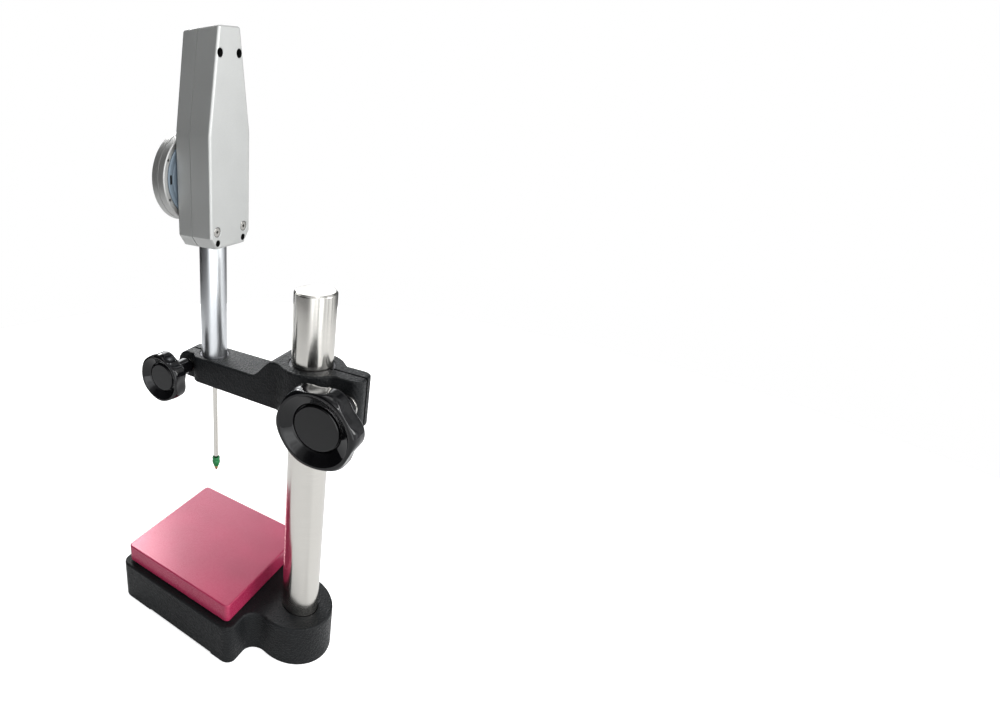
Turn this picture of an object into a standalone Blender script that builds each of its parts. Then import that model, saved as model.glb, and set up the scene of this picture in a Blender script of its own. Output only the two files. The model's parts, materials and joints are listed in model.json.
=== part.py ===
"""Comparator gauge stand: base with anvil plate, ground column, clamping arm and a
long-travel dial gauge.  Metres, +Z up.  The origin is on the table, under the middle of the
stand's outline; the column stands behind it, the arm reaches towards -Y and the clamp
knobs are on the +X side.  Every piece is modelled from the column's axis."""
import math

import bmesh
import bpy
from mathutils import Matrix, Vector

MM = 0.001

# Clearances
RUN = 0.10 * MM          # radial clearance of a sliding or turning fit
GAP = 0.35 * MM          # gap between fixed pieces that rest on each other

# Base and anvil plate
BLOCK_HALF = 64 * MM
BLOCK_CENTRE_Y = -92 * MM
BASE_HEIGHT = 39 * MM
BASE_CORNER = 9 * MM
BASE_EDGE = 2.5 * MM
LOBE_RADIUS = 33.5 * MM
LOBE_Y = -7 * MM
LOBE_FILLET = 12 * MM
FOOT_HEIGHT = 2 * MM
PLATE_SIDE = 116.5 * MM
PLATE_BOTTOM = 40.3 * MM
PLATE_TOP = 57 * MM
PLATE_CORNER = 4.5 * MM
PLATE_EDGE = 1.2 * MM
PLATE_SCREW_REACH = 42 * MM

# Column
COLUMN_RADIUS = 15 * MM
COLUMN_TOP = 319.2 * MM
COLUMN_FOOT = 13 * MM
COLUMN_EDGE = 1.4 * MM

# Arm
ARM_BOTTOM = 226.3 * MM
ARM_TOP = 249 * MM
CLAMP_TOP = 264.5 * MM
ARM_HALF = 16 * MM
BOSS_RADIUS = 23.5 * MM
EAR_HALF = 10.8 * MM
ARM_REACH = 90 * MM                # column axis to stem axis
ARM_REAR = 42 * MM
ARM_FRONT = 104 * MM
ARM_EDGE = 1.3 * MM
SLOT = 2 * MM
BUSH_WALL = 1.3 * MM

# Clamp screws, at the rear round the column and at the front round the stem
REAR_CLAMP_Y = 32.5 * MM
REAR_CLAMP_Z = 0.5 * (ARM_BOTTOM + CLAMP_TOP)
REAR_STUD_RADIUS = 3 * MM
REAR_KNOB_RADIUS = 29.5 * MM
REAR_KNOB_FACE = 55 * MM
REAR_KNOB_CREST = math.radians(7)    # where one lobe points, from +Y towards +Z
FRONT_CLAMP_Y = -109.5 * MM
FRONT_CLAMP_Z = 0.5 * (ARM_BOTTOM + ARM_TOP)
FRONT_STUD_RADIUS = 2.4 * MM
FRONT_KNOB_RADIUS = 21 * MM
FRONT_KNOB_FACE = 47.5 * MM
FRONT_KNOB_CREST = math.radians(27)
KNOB_LOBES = 6

# The column's axis, so that the origin is under the middle from the base's front to the knob
COLUMN_Y = 0.5 * (BLOCK_HALF - BLOCK_CENTRE_Y - REAR_CLAMP_Y
                  - REAR_KNOB_RADIUS * math.cos(REAR_KNOB_CREST))

# Gauge, in its own frame: x and y from the stem axis, z from the table
GAUGE_YAW = math.radians(-2.8)
STEM_RADIUS = 10.5 * MM
STEM_BORE = 6.5 * MM
STEM_TOP = 358.5 * MM
HOUSING_BOTTOM = 341 * MM
HOUSING_TOP = 488 * MM
HOUSING_KINK = 420 * MM
HOUSING_HALF = 22 * MM
HOUSING_TOP_HALF = 11 * MM
HOUSING_FRONT = -14.9 * MM
HOUSING_BACK = 18.1 * MM
HOUSING_SEAM = -0.5 * MM
HOUSING_WALL = 2.2 * MM
HOUSING_EDGE = 1.8 * MM
CAVITY_BOTTOM = 359.5 * MM
CAVITY_TOP = 466 * MM

# Spindle
SPINDLE_RADIUS = 2 * MM
SPINDLE_TOP = 414 * MM
TRAVEL = 50 * MM
TIP_Z = 135.3 * MM
HOLDER_BOTTOM = 139.8 * MM
HOLDER_TOP = 149.2 * MM
RACK_PITCH = 0.625 * MM

# Dial
DIAL_Z = 389.7 * MM
DIAL_RADIUS = 33 * MM
DIAL_BACK = -16.9 * MM
DIAL_FRONT = -31.1 * MM
DIAL_SPLIT = -23.6 * MM
DIAL_OPENING = 13 * MM
FACE_RADIUS = 28.2 * MM
CENTRE_DISC = 17.4 * MM
COUNTER_OFFSET = 11 * MM
CRYSTAL_FRONT = -29.65 * MM
CRYSTAL_BACK = -29.05 * MM

# Movement
PINION_X = -3.4 * MM
WHEEL_PITCH_RADIUS = 10 * MM
CENTRE_PITCH_RADIUS = 1 * MM
WHEEL_TEETH = 80
CENTRE_TEETH = 8
PINION_DROP = math.sqrt((WHEEL_PITCH_RADIUS + CENTRE_PITCH_RADIUS) ** 2 - PINION_X ** 2)
PINION_Z = DIAL_Z - PINION_DROP
COUNTER_Z = DIAL_Z + COUNTER_OFFSET
ARBOR = 0.5 * MM


# Thin pierced pieces that only the manifold solver cuts cleanly
MANIFOLD_PIECES = {"movement_rear_plate"}


# ---------------------------------------------------------------- scene helpers

def clear_scene():
    for obj in list(bpy.data.objects):
        bpy.data.objects.remove(obj, do_unlink=True)


def material(name, colour, roughness, metallic=0.0, alpha=1.0):
    mat = bpy.data.materials.get(name) or bpy.data.materials.new(name)
    mat.use_nodes = True
    shader = mat.node_tree.nodes["Principled BSDF"]
    shader.inputs["Base Color"].default_value = (*colour, 1.0)
    shader.inputs["Roughness"].default_value = roughness
    shader.inputs["Metallic"].default_value = metallic
    shader.inputs["Alpha"].default_value = alpha
    return mat


def finish_mesh(bm, name):
    bmesh.ops.recalc_face_normals(bm, faces=bm.faces)
    mesh = bpy.data.meshes.new(name)
    bm.to_mesh(mesh)
    bm.free()
    return mesh


def add_object(name, mesh, mat, parent=None, origin=(0, 0, 0)):
    """Link a mesh whose vertices are given in the parent's frame; its origin moves to origin."""
    obj = bpy.data.objects.new(name, mesh)
    bpy.context.collection.objects.link(obj)
    mesh.transform(Matrix.Translation(-Vector(origin)))
    obj.location = origin
    obj.parent = parent
    mesh.shade_smooth()
    mesh.set_sharp_from_angle(angle=math.radians(35))
    mesh.materials.append(mat)
    return obj


def boolean(obj, mesh, operation="DIFFERENCE"):
    """Cut or join obj with a helper mesh given in the same frame as obj's parent."""
    count = len([m for m in obj.modifiers if m.type == "BOOLEAN"])
    tool = bpy.data.objects.new(f"{obj.name}_tool_{count}", mesh)
    bpy.context.collection.objects.link(tool)
    tool.parent = obj.parent
    tool.hide_render = True
    tool.display_type = "WIRE"
    mod = obj.modifiers.new(f"Shape {count}", "BOOLEAN")
    mod.operation = operation
    mod.solver = "MANIFOLD" if obj.name in MANIFOLD_PIECES else "EXACT"
    mod.object = tool
    return mod


# ---------------------------------------------------------------- shape helpers

AXES = {
    "Z": Matrix.Identity(4),
    "X": Matrix.Rotation(math.radians(90), 4, "Y"),
    "Y": Matrix.Rotation(math.radians(-90), 4, "X"),
}


def arc(cx, cy, radius, start, end, steps):
    """Points on a circle from start to end, in degrees."""
    points = []
    for i in range(steps + 1):
        a = math.radians(start + (end - start) * i / steps)
        points.append((cx + radius * math.cos(a), cy + radius * math.sin(a)))
    return points


def lathe(profile, segments, axis="Z", centre=(0, 0, 0), closed=False):
    """Turn a profile of (radius, height) about an axis through centre.  A profile that
    starts and ends at radius 0 makes a solid, a closed one makes a ring."""
    bm = bmesh.new()
    rings = []
    for radius, height in profile:
        if radius == 0:
            rings.append([bm.verts.new((0, 0, height))])
            continue
        ring = [bm.verts.new((radius * math.cos(2 * math.pi * i / segments),
                              radius * math.sin(2 * math.pi * i / segments), height))
                for i in range(segments)]
        rings.append(ring)
    pairs = list(zip(rings, rings[1:]))
    if closed:
        pairs.append((rings[-1], rings[0]))
    for a, b in pairs:
        for i in range(segments):
            j = (i + 1) % segments
            corners = [a[i % len(a)], a[j % len(a)], b[j % len(b)], b[i % len(b)]]
            unique = list(dict.fromkeys(corners))
            if len(unique) > 2:
                bm.faces.new(unique)
    bmesh.ops.transform(bm, matrix=Matrix.Translation(centre) @ AXES[axis], verts=bm.verts)
    return bm


def cylinder(radius, low, high, segments, axis="Z", centre=(0, 0, 0), edge=0.0):
    """Solid cylinder from low to high along the axis, with chamfered ends."""
    if edge:
        profile = [(0, low), (radius - edge, low), (radius, low + edge),
                   (radius, high - edge), (radius - edge, high), (0, high)]
    else:
        profile = [(0, low), (radius, low), (radius, high), (0, high)]
    return lathe(profile, segments, axis, centre)


def tube(inner, outer, low, high, segments, axis="Z", centre=(0, 0, 0)):
    profile = [(inner, low), (outer, low), (outer, high), (inner, high)]
    return lathe(profile, segments, axis, centre, closed=True)


def prism(outline, low, high, plane="XY", edge=0.0, edge_steps=1):
    """Extrude an outline.  In plane XY it rises along Z, in XZ along Y, in YZ along X."""
    place = {"XY": lambda a, b, h: (a, b, h),
             "XZ": lambda a, b, h: (a, h, b),
             "YZ": lambda a, b, h: (h, a, b)}[plane]
    bm = bmesh.new()
    bottom = [bm.verts.new(place(a, b, low)) for a, b in outline]
    top = [bm.verts.new(place(a, b, high)) for a, b in outline]
    caps = [bm.faces.new(bottom), bm.faces.new(top)]
    count = len(outline)
    for i in range(count):
        j = (i + 1) % count
        bm.faces.new((bottom[i], bottom[j], top[j], top[i]))
    bmesh.ops.recalc_face_normals(bm, faces=bm.faces)
    if edge:
        rim = {e for cap in caps for e in cap.edges}
        bmesh.ops.bevel(bm, geom=list(rim), offset=edge, segments=edge_steps,
                        profile=0.5, affect="EDGES", clamp_overlap=True)
    return bm


def box(low, high):
    outline = [(low[0], low[1]), (high[0], low[1]), (high[0], high[1]), (low[0], high[1])]
    return prism(outline, low[2], high[2])


def rounded_rectangle(half_x, half_y, radius, steps, centre=(0, 0)):
    cx, cy = centre
    points = []
    for sx, sy, start in ((1, 1, 0), (-1, 1, 90), (-1, -1, 180), (1, -1, 270)):
        points += arc(cx + sx * (half_x - radius), cy + sy * (half_y - radius), radius,
                      start, start + 90, steps)
    return points


def join(*parts):
    """Put separate closed bodies into one bmesh."""
    whole = bmesh.new()
    for part in parts:
        mesh = bpy.data.meshes.new("part")
        bmesh.ops.recalc_face_normals(part, faces=part.faces)
        part.to_mesh(mesh)
        part.free()
        whole.from_mesh(mesh)
        bpy.data.meshes.remove(mesh)
    return whole


def gear_outline(cx, cy, tip, depth, teeth):
    """Pointed teeth, as small clock wheels show them."""
    points = []
    for i in range(teeth):
        for part, radius in ((0.0, tip - depth), (0.5, tip)):
            a = 2 * math.pi * (i + part) / teeth
            points.append((cx + radius * math.cos(a), cy + radius * math.sin(a)))
    return points


def smooth_max(a, b, blend):
    """The larger of two values, with a fillet where they cross."""
    h = min(max(0.5 + 0.5 * (a - b) / blend, 0), 1)
    return b + (a - b) * h + blend * h * (1 - h)


# ---------------------------------------------------------------- materials

def make_materials():
    return {
        "black_paint": material("black_paint", (0.018, 0.019, 0.020), 0.55),
        "plate_red": material("plate_red", (0.42, 0.045, 0.11), 0.38),
        "ground_steel": material("ground_steel", (0.62, 0.60, 0.56), 0.28, 1.0),
        "screw_steel": material("screw_steel", (0.55, 0.55, 0.56), 0.3, 1.0),
        "black_steel": material("black_steel", (0.03, 0.03, 0.032), 0.45, 0.6),
        "knob_black": material("knob_black", (0.01, 0.01, 0.011), 0.08),
        "satin_chrome": material("satin_chrome", (0.70, 0.71, 0.73), 0.32, 1.0),
        "grey_paint": material("grey_paint", (0.46, 0.47, 0.48), 0.45, 0.35),
        "brass": material("brass", (0.60, 0.44, 0.17), 0.3, 1.0),
        "contact_green": material("contact_green", (0.02, 0.17, 0.06), 0.3),
        "cover_grey": material("cover_grey", (0.25, 0.29, 0.33), 0.4),
        "dial_white": material("dial_white", (0.85, 0.85, 0.83), 0.5),
        "pointer_black": material("pointer_black", (0.02, 0.02, 0.02), 0.4),
        "crystal": material("crystal", (0.95, 0.97, 0.98), 0.03, 0.0, 0.25),
        "rubber": material("rubber", (0.02, 0.02, 0.02), 0.7),
    }


# ---------------------------------------------------------------- base and column

def base_outline():
    """Square block with round corners, flowing through two fillets into the column's lobe."""
    front = BLOCK_CENTRE_Y - BLOCK_HALF
    rear = BLOCK_CENTRE_Y + BLOCK_HALF
    inner = BLOCK_HALF - BASE_CORNER
    fillet_y = rear + LOBE_FILLET
    reach = LOBE_RADIUS + LOBE_FILLET
    fillet_x = math.sqrt(reach ** 2 - (fillet_y - LOBE_Y) ** 2)
    meet = math.degrees(math.atan2(LOBE_Y - fillet_y, -fillet_x))
    if meet < 0:
        meet += 360
    points = arc(inner, front + BASE_CORNER, BASE_CORNER, -90, 0, 4)
    points += arc(inner, rear - BASE_CORNER, BASE_CORNER, 0, 90, 4)
    points += arc(fillet_x, fillet_y, LOBE_FILLET, 270, meet, 4)
    points += arc(0, LOBE_Y, LOBE_RADIUS, meet - 180, 360 - meet, 16)[1:-1]
    points += arc(-fillet_x, fillet_y, LOBE_FILLET, 180 - meet, -90, 4)
    points += arc(-inner, rear - BASE_CORNER, BASE_CORNER, 90, 180, 4)
    points += arc(-inner, front + BASE_CORNER, BASE_CORNER, 180, 270, 4)
    return points


def plate_screw_places():
    return [(sx * PLATE_SCREW_REACH, BLOCK_CENTRE_Y + sy * PLATE_SCREW_REACH)
            for sx in (-1, 1) for sy in (-1, 1)]


def build_base(mats, stand):
    body = prism(base_outline(), 0, BASE_HEIGHT, edge=BASE_EDGE)
    base = add_object("base_casting", finish_mesh(body, "base_casting"), mats["black_paint"], stand)
    land_half = PLATE_SIDE / 2 - 4 * MM
    land = prism(rounded_rectangle(land_half, land_half, 3 * MM, 3, (0, BLOCK_CENTRE_Y)),
                 BASE_HEIGHT - 3 * MM, PLATE_BOTTOM - GAP)
    boolean(base, finish_mesh(land, "land"), "UNION")
    # Recesses that leave the corner pads as feet
    channel_x = box((-BLOCK_HALF - MM, -121 * MM, -MM), (BLOCK_HALF + MM, -48 * MM, FOOT_HEIGHT))
    boolean(base, finish_mesh(channel_x, "channel_x"))
    channel_y = box((-37 * MM, -BLOCK_HALF + BLOCK_CENTRE_Y - MM, -MM), (37 * MM, -60 * MM, FOOT_HEIGHT))
    boolean(base, finish_mesh(channel_y, "channel_y"))
    socket = lathe([(0, COLUMN_FOOT - GAP), (COLUMN_RADIUS + GAP, COLUMN_FOOT - GAP),
                    (COLUMN_RADIUS + GAP, BASE_HEIGHT - 0.8 * MM),
                    (COLUMN_RADIUS + GAP + 1.6 * MM, BASE_HEIGHT + 0.8 * MM),
                    (0, BASE_HEIGHT + 0.8 * MM)], 48)
    boolean(base, finish_mesh(socket, "socket"))
    bolt_way = lathe([(0, -MM), (11.5 * MM, -MM), (11.5 * MM, 9 * MM), (5.5 * MM, 9 * MM),
                      (5.5 * MM, COLUMN_FOOT), (0, COLUMN_FOOT)], 24)
    boolean(base, finish_mesh(bolt_way, "bolt_way"))
    holes = join(*[lathe([(0, -MM), (5.6 * MM, -MM), (5.6 * MM, 27 * MM), (3.3 * MM, 27 * MM),
                          (3.3 * MM, BASE_HEIGHT + 4 * MM), (0, BASE_HEIGHT + 4 * MM)],
                         12, centre=(x, y, 0)) for x, y in plate_screw_places()])
    boolean(base, finish_mesh(holes, "plate_screw_holes"))


def build_plate(mats, stand):
    half = PLATE_SIDE / 2
    outline = rounded_rectangle(half, half, PLATE_CORNER, 4, (0, BLOCK_CENTRE_Y))
    body = prism(outline, PLATE_BOTTOM, PLATE_TOP, edge=PLATE_EDGE)
    plate = add_object("anvil_plate", finish_mesh(body, "anvil_plate"), mats["plate_red"], stand)
    taps = join(*[cylinder(3.3 * MM, PLATE_BOTTOM - 2 * MM, PLATE_BOTTOM + 9.5 * MM, 12,
                           centre=(x, y, 0)) for x, y in plate_screw_places()])
    boolean(plate, finish_mesh(taps, "plate_taps"))
    for number, (x, y) in enumerate(plate_screw_places(), 1):
        screw = lathe([(0, 22 * MM), (1.5 * MM, 22 * MM), (1.5 * MM, 20.5 * MM),
                       (4.6 * MM, 20.5 * MM), (5 * MM, 21 * MM), (5 * MM, 26.6 * MM),
                       (2.95 * MM, 26.6 * MM), (2.95 * MM, PLATE_BOTTOM + 8.5 * MM),
                       (0, PLATE_BOTTOM + 8.5 * MM)], 12, centre=(x, y, 0))
        name = f"plate_screw_{number}"
        add_object(name, finish_mesh(screw, name), mats["black_steel"], stand)


def build_column(mats, stand):
    edge = COLUMN_EDGE
    profile = [(0, COLUMN_TOP), (COLUMN_RADIUS - edge, COLUMN_TOP),
               (COLUMN_RADIUS, COLUMN_TOP - edge), (COLUMN_RADIUS, COLUMN_FOOT + MM),
               (COLUMN_RADIUS - MM, COLUMN_FOOT), (4.35 * MM, COLUMN_FOOT),
               (4.35 * MM, COLUMN_FOOT + 30 * MM), (0, COLUMN_FOOT + 32 * MM)]
    add_object("column", finish_mesh(lathe(profile, 48), "column"), mats["ground_steel"], stand)
    washer = tube(5.2 * MM, 10.6 * MM, 6.6 * MM, 8.65 * MM, 24)
    add_object("column_washer", finish_mesh(washer, "column_washer"), mats["screw_steel"], stand)
    bolt = lathe([(0, 3.4 * MM), (3 * MM, 3.4 * MM), (3 * MM, 1.2 * MM), (8 * MM, 1.2 * MM),
                  (8.5 * MM, 1.8 * MM), (8.5 * MM, 6.3 * MM), (4 * MM, 6.3 * MM),
                  (4 * MM, COLUMN_FOOT + 26 * MM), (0, COLUMN_FOOT + 27 * MM)], 24)
    add_object("column_bolt", finish_mesh(bolt, "column_bolt"), mats["black_steel"], stand)


# ---------------------------------------------------------------- arm

def arm_half_width(y):
    """Half width of the arm in plan at a place along its length."""
    boss = math.sqrt(max(BOSS_RADIUS ** 2 - y ** 2, 0))
    if y > 0:
        corner = ARM_REAR - 7 * MM
        ear = EAR_HALF
        if y > corner:
            ear -= 7 * MM - math.sqrt(max((7 * MM) ** 2 - (y - corner) ** 2, 0))
        return smooth_max(boss, ear, 4 * MM) if y < corner else ear
    corner = -(ARM_FRONT - 9 * MM)
    if y < -ARM_FRONT:
        return EAR_HALF
    side = ARM_HALF
    if y < corner:
        side -= 9 * MM - math.sqrt(max((9 * MM) ** 2 - (y - corner) ** 2, 0))
        return max(side, EAR_HALF)
    return smooth_max(boss, side, 4 * MM)


def arm_heights(y):
    """Bottom and top of the arm at a place along its length."""
    rise_start, rise_end = -43 * MM, -23 * MM
    nose_y, nose_radius = FRONT_CLAMP_Y, 0.5 * (ARM_TOP - ARM_BOTTOM)
    if y < nose_y:
        half = math.sqrt(max(nose_radius ** 2 - (y - nose_y) ** 2, 0))
        return FRONT_CLAMP_Z - half, FRONT_CLAMP_Z + half
    t = min(max((y - rise_start) / (rise_end - rise_start), 0), 1)
    lift = 0.5 - 0.5 * math.cos(math.pi * t)
    return ARM_BOTTOM, ARM_TOP + (CLAMP_TOP - ARM_TOP) * lift


def arm_stations():
    """Places along Y where the arm's section is laid, denser where its outline curves."""
    nose = 0.5 * (ARM_TOP - ARM_BOTTOM)
    stations = [FRONT_CLAMP_Y - nose * math.cos(math.radians(a)) for a in range(16, 90, 18)]
    stations += [FRONT_CLAMP_Y, -ARM_FRONT]
    stations += [-(ARM_FRONT - 9 * MM) - 9 * MM * math.sin(math.radians(a)) for a in (64, 45, 25, 0)]
    stations += [-45 * MM + i * 3.6 * MM for i in range(7)]
    stations += [-19.5 * MM + i * 3.9 * MM for i in range(13)]
    corner = ARM_REAR - 7 * MM
    stations += [corner + 7 * MM * math.sin(math.radians(a)) for a in (0, 25, 50, 72, 90)]
    return sorted(set(stations))


def arm_section(y):
    low, high = arm_heights(y)
    half = arm_half_width(y)
    edge = min(ARM_EDGE, 0.3 * (high - low))
    side = [(half - edge, high), (half, high - edge), (half, low + edge), (half - edge, low)]
    return side + [(-x, z) for x, z in reversed(side)]


def build_arm_body():
    bm = bmesh.new()
    rings = [[bm.verts.new((x, y, z)) for x, z in arm_section(y)] for y in arm_stations()]
    for a, b in zip(rings, rings[1:]):
        for i in range(len(a)):
            j = (i + 1) % len(a)
            bm.faces.new((a[i], a[j], b[j], b[i]))
    bm.faces.new(rings[0])
    bm.faces.new(rings[-1])
    bmesh.ops.triangulate(bm, faces=bm.faces)
    return bm


def build_arm(mats, parent):
    arm = add_object("arm_casting", finish_mesh(build_arm_body(), "arm_casting"),
                     mats["black_paint"], parent)
    column_bore = COLUMN_RADIUS + 2 * RUN + BUSH_WALL
    stem_bore = STEM_RADIUS + 2 * RUN + BUSH_WALL
    low, high = ARM_BOTTOM - 5 * MM, CLAMP_TOP + 5 * MM
    boolean(arm, finish_mesh(cylinder(column_bore, low, high, 48), "column_bore"))
    boolean(arm, finish_mesh(cylinder(stem_bore, low, high, 40, centre=(0, -ARM_REACH, 0)),
                             "stem_bore"))
    rear = box((-SLOT / 2, COLUMN_RADIUS, low), (SLOT / 2, ARM_REAR + 3 * MM, high))
    boolean(arm, finish_mesh(rear, "rear_slot"))
    front = box((-SLOT / 2, -ARM_REACH - 36 * MM, low), (SLOT / 2, -ARM_REACH - STEM_RADIUS, high))
    boolean(arm, finish_mesh(front, "front_slot"))
    for y, z, radius in ((REAR_CLAMP_Y, REAR_CLAMP_Z, REAR_STUD_RADIUS),
                         (FRONT_CLAMP_Y, FRONT_CLAMP_Z, FRONT_STUD_RADIUS)):
        way = cylinder(radius + 0.3 * MM, -30 * MM, 30 * MM, 16, "X", (0, y, z))
        boolean(arm, finish_mesh(way, "stud_way"))


def build_split_bush(name, inner, low, high, segments, gap_side, mats, parent, origin):
    """Thin liner with one slit, on gap_side (+1 rear, -1 front)."""
    bush = add_object(name, finish_mesh(tube(inner + RUN, inner + RUN + BUSH_WALL, low, high,
                                             segments, centre=origin), name),
                      mats["screw_steel"], parent)
    near = origin[1] + gap_side * (inner - 2 * MM)
    far = origin[1] + gap_side * (inner + 4 * MM)
    slit = box((-0.8 * MM, min(near, far), low - MM), (0.8 * MM, max(near, far), high + MM))
    boolean(bush, finish_mesh(slit, name + "_slit"))


# ---------------------------------------------------------------- clamp knobs

def knob_body(radius, face, crest, seat, stud_radius, stud_depth, centre):
    """Lobed knob turned about X.  seat is where its hub meets the washer and face is
    its front rim; each ring is (x, radius, depth of the hollows between lobes)."""
    length = face - seat
    scallop = 0.11 * radius
    hub = 0.33 * radius
    back = seat + 0.6 * length
    rings = [(seat + stud_depth, stud_radius, 0), (seat, stud_radius, 0), (seat, hub, 0),
             (back, hub, 0), (back, 0.72 * radius, 0.2 * scallop),
             (back + 0.04 * length, 0.94 * radius, 0.9 * scallop),
             (back + 0.10 * length, radius, scallop),
             (face - 0.12 * length, radius, scallop),
             (face - 0.03 * length, 0.95 * radius, 0.5 * scallop),
             (face, 0.86 * radius, 0), (face, 0.79 * radius, 0),
             (face - 0.10 * length, 0.6 * radius, 0),
             (face - 0.16 * length, 0.55 * radius, 0)]
    steps = KNOB_LOBES * 7
    bm = bmesh.new()
    loops = []
    for x, ring_radius, hollow in rings:
        loop = []
        for i in range(steps):
            a = crest + 2 * math.pi * i / steps
            r = ring_radius - hollow * (0.5 - 0.5 * math.cos(KNOB_LOBES * (a - crest)))
            loop.append(bm.verts.new((x, centre[0] + r * math.cos(a), centre[1] + r * math.sin(a))))
        loops.append(loop)
    for a, b in zip(loops, loops[1:]):
        for i in range(steps):
            j = (i + 1) % steps
            bm.faces.new((a[i], a[j], b[j], b[i]))
    bm.faces.new(loops[0])
    bm.faces.new(loops[-1])
    return bm


def build_clamp(prefix, y, z, stud_radius, knob_radius, face, crest, mats, parent):
    """Washer, lobed knob, its centre cap and its threaded stud."""
    seat = EAR_HALF + 2 * GAP + 1.5 * MM
    axis = (0, y, z)
    washer = tube(stud_radius + GAP, 0.31 * knob_radius, EAR_HALF + GAP, EAR_HALF + GAP + 1.5 * MM,
                  20, "X", axis)
    add_object(f"{prefix}_washer", finish_mesh(washer, "washer"), mats["screw_steel"], parent, axis)
    stud_depth = 16 * MM
    bore = stud_radius + GAP
    knob = knob_body(knob_radius, face, crest, seat, bore, stud_depth, (y, z))
    add_object(f"{prefix}_knob", finish_mesh(knob, "knob"), mats["knob_black"], parent, axis)
    length = face - seat
    recess = face - 0.16 * length
    cap = cylinder(0.55 * knob_radius - 0.8 * MM, recess + GAP, face - 0.115 * length, 28, "X",
                   axis, edge=0.5 * MM)
    add_object(f"{prefix}_knob_cap", finish_mesh(cap, "cap"), mats["knob_black"], parent, axis)
    end = -EAR_HALF + 0.4 * MM
    stud = cylinder(stud_radius, end, seat + stud_depth - GAP, 16, "X", axis, edge=0.5 * MM)
    add_object(f"{prefix}_stud", finish_mesh(stud, "stud"), mats["screw_steel"], parent, axis)


# ---------------------------------------------------------------- gauge housing and stem

def housing_outline(inset=0.0, low=HOUSING_BOTTOM, high=HOUSING_TOP):
    """Front view of the housing: straight sides, chamfered foot corners and a tapered top."""
    half = HOUSING_HALF - inset
    slope = (HOUSING_HALF - HOUSING_TOP_HALF) / (HOUSING_TOP - HOUSING_KINK)

    def width(z):
        return half - slope * max(z - HOUSING_KINK, 0)

    side = []
    if inset:
        side += [(half, low)]
    else:
        side += [(half - 6.5 * MM, low), (half - 5.6 * MM, low + 0.6 * MM),
                 (half - 0.6 * MM, low + 7.6 * MM), (half, low + 9.2 * MM)]
    side += [(half, HOUSING_KINK - 4 * MM), (width(HOUSING_KINK + MM) - 0.1 * MM, HOUSING_KINK),
             (width(HOUSING_KINK + 4 * MM), HOUSING_KINK + 4 * MM)]
    if inset:
        side += [(width(high), high)]
    else:
        side += [(width(high - 4 * MM), high - 4 * MM), (width(high) - 1.0 * MM, high - 1.3 * MM),
                 (width(high) - 3.2 * MM, high)]
    return side + [(-x, z) for x, z in reversed(side)]


def build_shell(name, seam_y, outer_y, cavity_low, cavity_high, mats, gauge):
    """Half of the housing between its seam and its outer wall, hollow behind the wall."""
    body = prism(housing_outline(), min(seam_y, outer_y), max(seam_y, outer_y), "XZ")
    rim = [e for e in body.edges if all(abs(v.co.y - outer_y) < 1e-6 for v in e.verts)]
    bmesh.ops.bevel(body, geom=rim, offset=HOUSING_EDGE, segments=2, profile=0.5, affect="EDGES")
    shell = add_object(name, finish_mesh(body, name), mats["grey_paint"], gauge)
    cavity = prism(housing_outline(HOUSING_WALL, CAVITY_BOTTOM, CAVITY_TOP),
                   cavity_low, cavity_high, "XZ")
    boolean(shell, finish_mesh(cavity, name + "_cavity"))
    stem = cylinder(STEM_RADIUS + GAP, HOUSING_BOTTOM - 3 * MM, CAVITY_BOTTOM + MM, 32)
    boolean(shell, finish_mesh(stem, name + "_stem_way"))
    return shell


UPPER_SCREWS = [(sx * 9.8 * MM, 471.5 * MM) for sx in (-1, 1)]
LOWER_SCREWS = [(sx * 14.9 * MM, 353.8 * MM) for sx in (-1, 1)]
LOWER_HOLES = [(sx * 14.3 * MM, 345.4 * MM) for sx in (-1, 1)]


def along_y(profile, x, z, segments):
    """Turned body on an axis along Y; profile heights are y values."""
    return lathe(profile, segments, "Y", (x, 0, z))


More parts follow.
